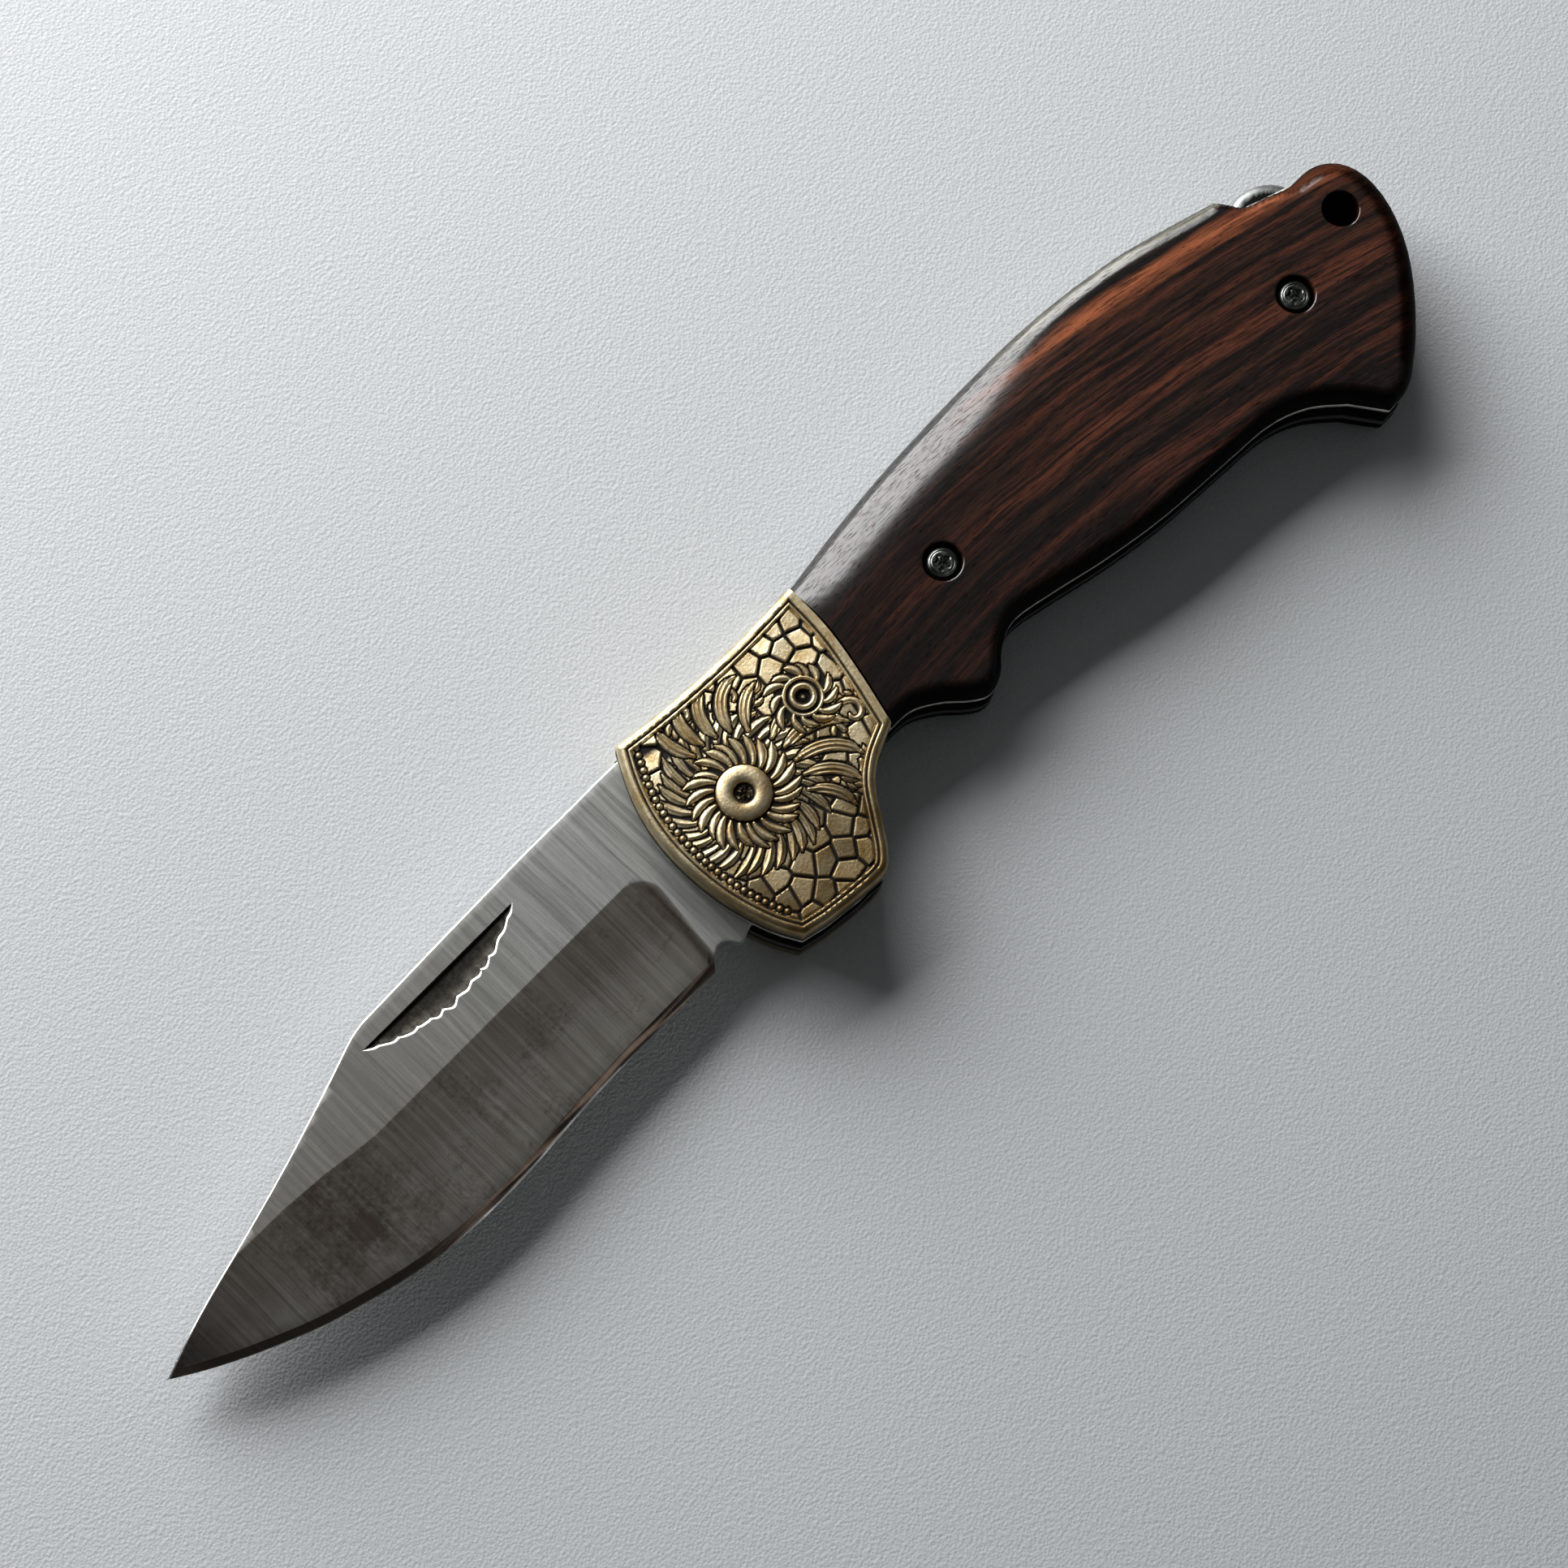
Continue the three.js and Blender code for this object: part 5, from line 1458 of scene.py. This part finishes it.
def makeBlade():
    loops = sectionLoops("blade", layers["bladeMiddle"])
    outline, _ = smoothed(loops[0], step=0.2, cornerAngle=38)
    bore = roundHoles(loops[1:])[0]
    tip, rear = int(np.argmin(outline[:, 0])), int(np.argmax(outline[:, 0]))
    ring = np.roll(outline, -tip, axis=0)
    rear = (rear - tip) % len(outline)
    lower, upper = ring[:rear + 1], np.vstack([ring[rear:], ring[:1]])[::-1]
    stations = bladeStations(ring[0, 0])
    low, high = pathHeights(lower, stations), pathHeights(upper, stations)
    rows, grind, bevel, lip = bladeRowHeights(stations, low, high)
    surface = bladeSurface(stations[None], rows, low, high, grind, bevel, lip)
    bm = bmesh.new()
    zones = bm.verts.layers.float_color.new("zones")
    # a layer with the painted highlight in red and the brown stain in green
    highlightAndStain = bm.verts.layers.float_color.new("highlightAndStain")
    rowCount, columnCount = rows.shape
    bmesh.ops.create_grid(bm, x_segments=columnCount - 1, y_segments=rowCount - 1, size=0.5)
    for vert in bm.verts:
        column = int(round((vert.co.x + 0.5) * (columnCount - 1)))
        row = int(round((vert.co.y + 0.5) * (rowCount - 1)))
        height, ground, edgeBand, nickMask, highlightAndPolish, stain = (part[row, column] for part in surface)
        vert.co = (stations[column] * mm, rows[row, column] * mm, height * mm)
        vert[zones] = (ground, edgeBand, nickMask, 1)
        vert[highlightAndStain] = (highlightAndPolish, stain, 0, 1)
    bmesh.ops.remove_doubles(bm, verts=bm.verts, dist=merge["section"])
    closeTang(bm, ring, bore)
    border = [e for e in bm.edges if e.is_boundary]
    made = bmesh.ops.extrude_edge_only(bm, edges=border)["geom"]
    for vert in (g for g in made if isinstance(g, bmesh.types.BMVert)):
        vert.co.z = layers["bladeMiddle"] * mm
    bmesh.ops.translate(bm, verts=bm.verts, vec=(0, 0, -layers["bladeMiddle"] * mm))
    bmesh.ops.mirror(bm, geom=bm.verts[:] + bm.edges[:] + bm.faces[:], merge_dist=merge["section"], axis="Z")
    bmesh.ops.translate(bm, verts=bm.verts, vec=(0, 0, layers["bladeMiddle"] * mm))
    bmesh.ops.remove_doubles(bm, verts=bm.verts, dist=merge["blade"])
    for vert in bm.verts:
        if vert.co.z < layers["bladeMiddle"] * mm and (vert[zones][2] > 0 or nickHolds(vert)):
            vert.co.z = layers["bladeBase"] * mm
            vert[zones] = (0, 0, 0, 1)
            vert[highlightAndStain] = (0, 0, 0, 1)
    bmesh.ops.recalc_face_normals(bm, faces=bm.faces)
    putPiece(bm, "blade_ground", "blade_steel", "blade", ["blade"], crisp=24)


# Whether a point of the blade lies in the nick
def nickHolds(vert):
    shape = bladeShape
    x, y = vert.co.x / mm, vert.co.y / mm
    if not shape["nickEnd"] - 0.1 < x < shape["nickStart"] + 0.1:
        return False
    return float(nickLower(np.array(x))) - 0.1 < y < shape["nickTop"] + 0.05


# The plain tang behind the last row, with the pivot bore: its flat face is filled in one go.
def closeTang(bm, ring, bore):
    start = bladeShape["tangStart"] * mm
    seam = [e for e in bm.edges if e.is_boundary and all(abs(v.co.x - start) < 0.001 * mm for v in e.verts)]
    ends = sorted({v for e in seam for v in e.verts}, key=lambda v: v.co.y)
    bottom, top = ends[0], ends[-1]
    height = layers["bladeTop"] * mm
    for vert in ends:
        vert.co.z = height
    around = [p for p in ring if p[0] > bladeShape["tangStart"] + 0.1]
    chain = [bottom] + [bm.verts.new((x * mm, y * mm, height)) for x, y in around] + [top]
    edges = seam + [bm.edges.new(pair) for pair in zip(chain, chain[1:])]
    circle = bmesh.ops.create_circle(bm, segments=48, radius=bore[1] * mm)["verts"]
    for vert in circle:
        vert.co += Vector((bore[0][0] * mm, bore[0][1] * mm, height))
    edges += list({e for v in circle for e in v.link_edges})
    bmesh.ops.triangle_fill(bm, edges=edges, use_beauty=True, normal=(0, 0, 1))


makeBlade()
print("blade made")


# Plates cut from sheet: liners, spacer and lock spring, each with softened rims. Painted shade, for the shade
# inside the handle, says how dark the faces are painted, walls how dark the edges are.
plates = {
    "near_liner": {"finish": "liner_steel", "rim": 0.42, "rimSteps": 4, "paintedShade": 0.0, "walls": 0.0},
    "far_liner": {"finish": "liner_steel", "rim": 0.12, "rimSteps": 2, "paintedShade": 1.0, "walls": 0.9},
    "rear_spacer": {"finish": "liner_steel", "rim": 0.1, "rimSteps": 2, "paintedShade": 1.0, "walls": 0.97},
    "lock_spring": {"finish": "spring_steel", "rim": 0.1, "rimSteps": 2, "paintedShade": 1.0, "walls": 0.9},
}
plateCut = {"step": 0.45, "cornerAngle": 40, "rimAngle": 70, "boreShade": 0.6}


def makePlate(name, spec):
    low, high = (corner.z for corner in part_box(name))
    bm = bmesh.new()
    edges = []
    loops = sectionLoops(name, (low + high) / 2 / mm)
    for loop in loops:
        points, _ = smoothed(loop, plateCut["step"], plateCut["cornerAngle"])
        verts = [bm.verts.new((x * mm, y * mm, low)) for x, y in points]
        edges += [bm.edges.new(pair) for pair in zip(verts, verts[1:] + verts[:1])]
    bmesh.ops.triangle_fill(bm, edges=edges, use_beauty=True, normal=(0, 0, -1))
    made = bmesh.ops.extrude_face_region(bm, geom=bm.faces[:])["geom"]
    lifted = [g for g in made if isinstance(g, bmesh.types.BMVert)]
    bmesh.ops.translate(bm, verts=lifted, vec=(0, 0, high - low))
    bmesh.ops.recalc_face_normals(bm, faces=bm.faces)
    rims = [e for e in bm.edges if e.calc_face_angle(0) > math.radians(plateCut["rimAngle"])
            and abs(e.verts[0].co.z - e.verts[1].co.z) < 0.01 * mm]
    bmesh.ops.bevel(bm, geom=rims, offset=spec["rim"] * mm, affect="EDGES", segments=spec["rimSteps"],
                    profile=0.5, material=-1)
    zones = bm.verts.layers.float_color.new("zones")
    for vert in bm.verts:
        vert[zones] = (spec["walls"], 0, 0, 1)
    broad = [f for f in bm.faces if len(f.verts) == 3 and abs(f.normal.z) > 0.99]
    for vert in {v for f in broad for v in f.verts}:
        vert[zones] = (spec["paintedShade"], 0, 0, 1)
    for at, radius in roundHoles(loops[1:]):
        for vert in bm.verts:     # the bores get painted shade
            if math.hypot(vert.co.x / mm - at[0], vert.co.y / mm - at[1]) < radius + plateCut["boreShade"]:
                vert[zones] = (1, 0, 0, 1)
    putPiece(bm, f"{name}_plate", spec["finish"], "handle", [name], crisp=40)


# Lock bar: its near side has a broad rounded, polished rim round a face darkened with painted shade
barShape = {"step": 0.3, "spacing": 0.3, "rim": (1.25, 0.75), "dark": (0.02, 0.12)}


def makeLockBar():
    low, high = (corner.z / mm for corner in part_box("lock_bar"))
    loops = sectionLoops("lock_bar", (low + high) / 2)
    outline, corners = smoothed(loops[0], barShape["step"])
    holes = [{"at": at, "radius": radius, "steps": []} for at, radius in roundHoles(loops[1:])]
    bm = trimmedSheet(outline, corners, [(h["at"], h["radius"]) for h in holes], barShape["spacing"])
    zones = bm.verts.layers.float_color.new("zones")
    rims = np.tile(barShape["rim"], (len(outline), 1))
    verts, _, share = roundOver(bm, outline, rims, high)
    dark = 1 - smoothStep(*barShape["dark"], share)
    dropBorder(bm, holes, low)
    for vert in bm.verts:
        vert[zones] = (0, 0, 0, 1)
    for vert, value in zip(verts, dark):
        vert[zones] = (float(value), 0, 0, 1)
    bmesh.ops.recalc_face_normals(bm, faces=bm.faces)
    putPiece(bm, "lock_bar_plate", "spring_steel", "lock_bar", ["lock_bar"], crisp=40)


makeLockBar()
for plateName, plateSpec in plates.items():
    makePlate(plateName, plateSpec)
print("plates made")


# Turned hardware: profiles of (radius, height) in millimetres, spun round their axis. Dark is the radius of
# the dark socket, and the one past which the head's side is dark: patina on the brass, painted shade on the
# steel screws. Facets are the radius and height of the broken socket floor, and glints how dark its facets
# may be.
topFace = layers["top"]
turnedPieces = {
    "pivot_screw": {
        "finish": "antique_brass", "steps": 72, "dark": (1.36, 9.0), "facets": (1.0, 0.3),
        "glints": (0.1, 0.9, 1, 1),
        "profile": [(0, 2.6), (1.45, 2.6), (1.45, topFace - 1.15), (3.5, topFace - 1.15),
                    (3.5, topFace - 0.32), (3.46, topFace - 0.16), (3.34, topFace - 0.03),
                    (3.14, topFace + 0.06), (2.86, topFace + 0.13), (2.56, topFace + 0.18),
                    (2.3, topFace + 0.2), (2.0, topFace + 0.18), (1.72, topFace + 0.12),
                    (1.5, topFace + 0.02), (1.36, topFace - 0.14), (1.28, topFace - 0.6),
                    (1.1, topFace - 0.58), (0.9, topFace - 0.55), (0.6, topFace - 0.5),
                    (0.3, topFace - 0.5), (0, topFace - 0.54)],
    },
    "bolster_rivet": {
        "finish": "antique_brass", "steps": 48, "dark": (1.02, 1.7), "facets": (0.0, 0.0),
        "profile": [(0, 8.9), (1.3, 8.9), (1.3, topFace - 2.05), (1.9, topFace - 2.05),
                    (1.9, topFace - 0.55), (1.74, topFace - 0.5), (1.66, topFace - 0.3),
                    (1.58, topFace - 0.15), (1.42, topFace - 0.08), (1.26, topFace - 0.1),
                    (1.12, topFace - 0.22), (1.02, topFace - 0.45), (0.98, topFace - 0.95),
                    (0.6, topFace - 1.0), (0.46, topFace - 0.8), (0.3, topFace - 0.68),
                    (0, topFace - 0.62)],
    },
    "scale_screw": {
        "finish": "screw_steel", "steps": 60, "dark": (0.98, 1.9), "facets": (0.9, 0.3),
        "glints": (0, 0.3, 0.95),
        "socket": (0.85, 1.2), "lobes": 5,     # the stretch of the socket's wall that is pressed into lobes
        "profile": [(0, 8.9), (1.2, 8.9), (1.2, topFace - 1.75), (2.1, topFace - 1.75), (2.1, topFace - 1.1),
                    (1.92, topFace - 1.05), (1.88, topFace - 0.74), (1.76, topFace - 0.6),
                    (1.58, topFace - 0.53), (1.48, topFace - 0.62), (1.4, topFace - 0.53),
                    (1.24, topFace - 0.5), (1.1, topFace - 0.52), (0.98, topFace - 0.62),
                    (0.92, topFace - 0.85), (0.7, topFace - 0.92), (0.35, topFace - 0.82),
                    (0, topFace - 0.86)],
    },
    "pivot_barrel": {
        "finish": "antique_brass", "steps": 72, "dark": (0.0, 9.0), "facets": (0.0, 0.0),
        "profile": [(0, 0.12), (1.1, 0.12), (1.3, 0.02), (1.5, 0), (3.0, 0), (3.32, 0.08), (3.5, 0.28),
                    (3.5, 1.15), (2.5, 1.15), (2.5, topFace - 1.5), (1.6, topFace - 1.5), (1.6, 1.6),
                    (0, 1.6)],
    },
}


def makeTurned(kind, at, onFarSide, replaced):
    spec = turnedPieces[kind]
    chance = random.Random(kind)
    bm = bmesh.new()
    zones = bm.verts.layers.float_color.new("zones")
    verts = [bm.verts.new((radius * mm, 0, height * mm)) for radius, height in spec["profile"]]
    edges = [bm.edges.new(pair) for pair in zip(verts, verts[1:])]
    bmesh.ops.spin(bm, geom=verts + edges, cent=(0, 0, 0), axis=(0, 0, 1), angle=2 * math.pi,
                   steps=spec["steps"], use_merge=True)
    bmesh.ops.remove_doubles(bm, verts=bm.verts, dist=merge["turned"])
    inner, outer = spec["dark"]
    reach, rough = spec["facets"]
    wallStart, wallEnd = spec.get("socket", (0, 0))
    for vert in bm.verts:
        radius, angle = math.hypot(vert.co.x, vert.co.y) / mm, math.atan2(vert.co.y, vert.co.x)
        upper = vert.co.z / mm > topFace / 2
        # the socket and the head's side are marked dark: patina on brass, painted shade on steel
        dark = 1.0 if upper and (reach < radius < inner or radius > outer - 0.02) else 0.0
        if upper and radius < reach:
            dark = chance.choice(spec["glints"])
            vert.co.z += rough * mm * (math.sin(3 * angle + 7 * radius) * 0.5 + chance.uniform(-0.6, 0.6))
        vert[zones] = (dark, 0, 0, 1)
        if upper and wallStart < radius < wallEnd:
            lobe = 1 + 0.16 * math.cos(spec["lobes"] * angle) + 0.05 * math.cos(2 * angle + 1)
            vert.co.x *= lobe
            vert.co.y *= lobe
    bmesh.ops.recalc_face_normals(bm, faces=bm.faces)
    bmesh.ops.translate(bm, verts=bm.verts, vec=(at[0] * mm, at[1] * mm, 0))
    if onFarSide:
        turnOver(bm)
    putPiece(bm, f"{replaced}_turned", spec["finish"], "handle", [replaced], crisp=38)


def middleOf(name):
    low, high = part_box(name)
    return (low.x + high.x) / 2 / mm, (low.y + high.y) / 2 / mm


makeTurned("pivot_screw", (0, 0), False, "pivot_screw")
makeTurned("pivot_barrel", (0, 0), False, "pivot_barrel")
for side in ("near", "far"):
    for kind, ending in (("bolster_rivet", "bolster_rivet"), ("scale_screw", "screw_front"),
                         ("scale_screw", "screw_rear")):
        node = f"{side}_{ending}"
        makeTurned(kind, middleOf(node), side == "far", node)
print("hardware made")


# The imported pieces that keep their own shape
slotOf = {row["node"]: row["material_slot"] for row in frame["record"]["subparts"]}
for name, piece in nodes.items():
    piece.data.materials.clear()
    piece.data.materials.append(materials[slotOf[name]])
print("packed pieces finished")
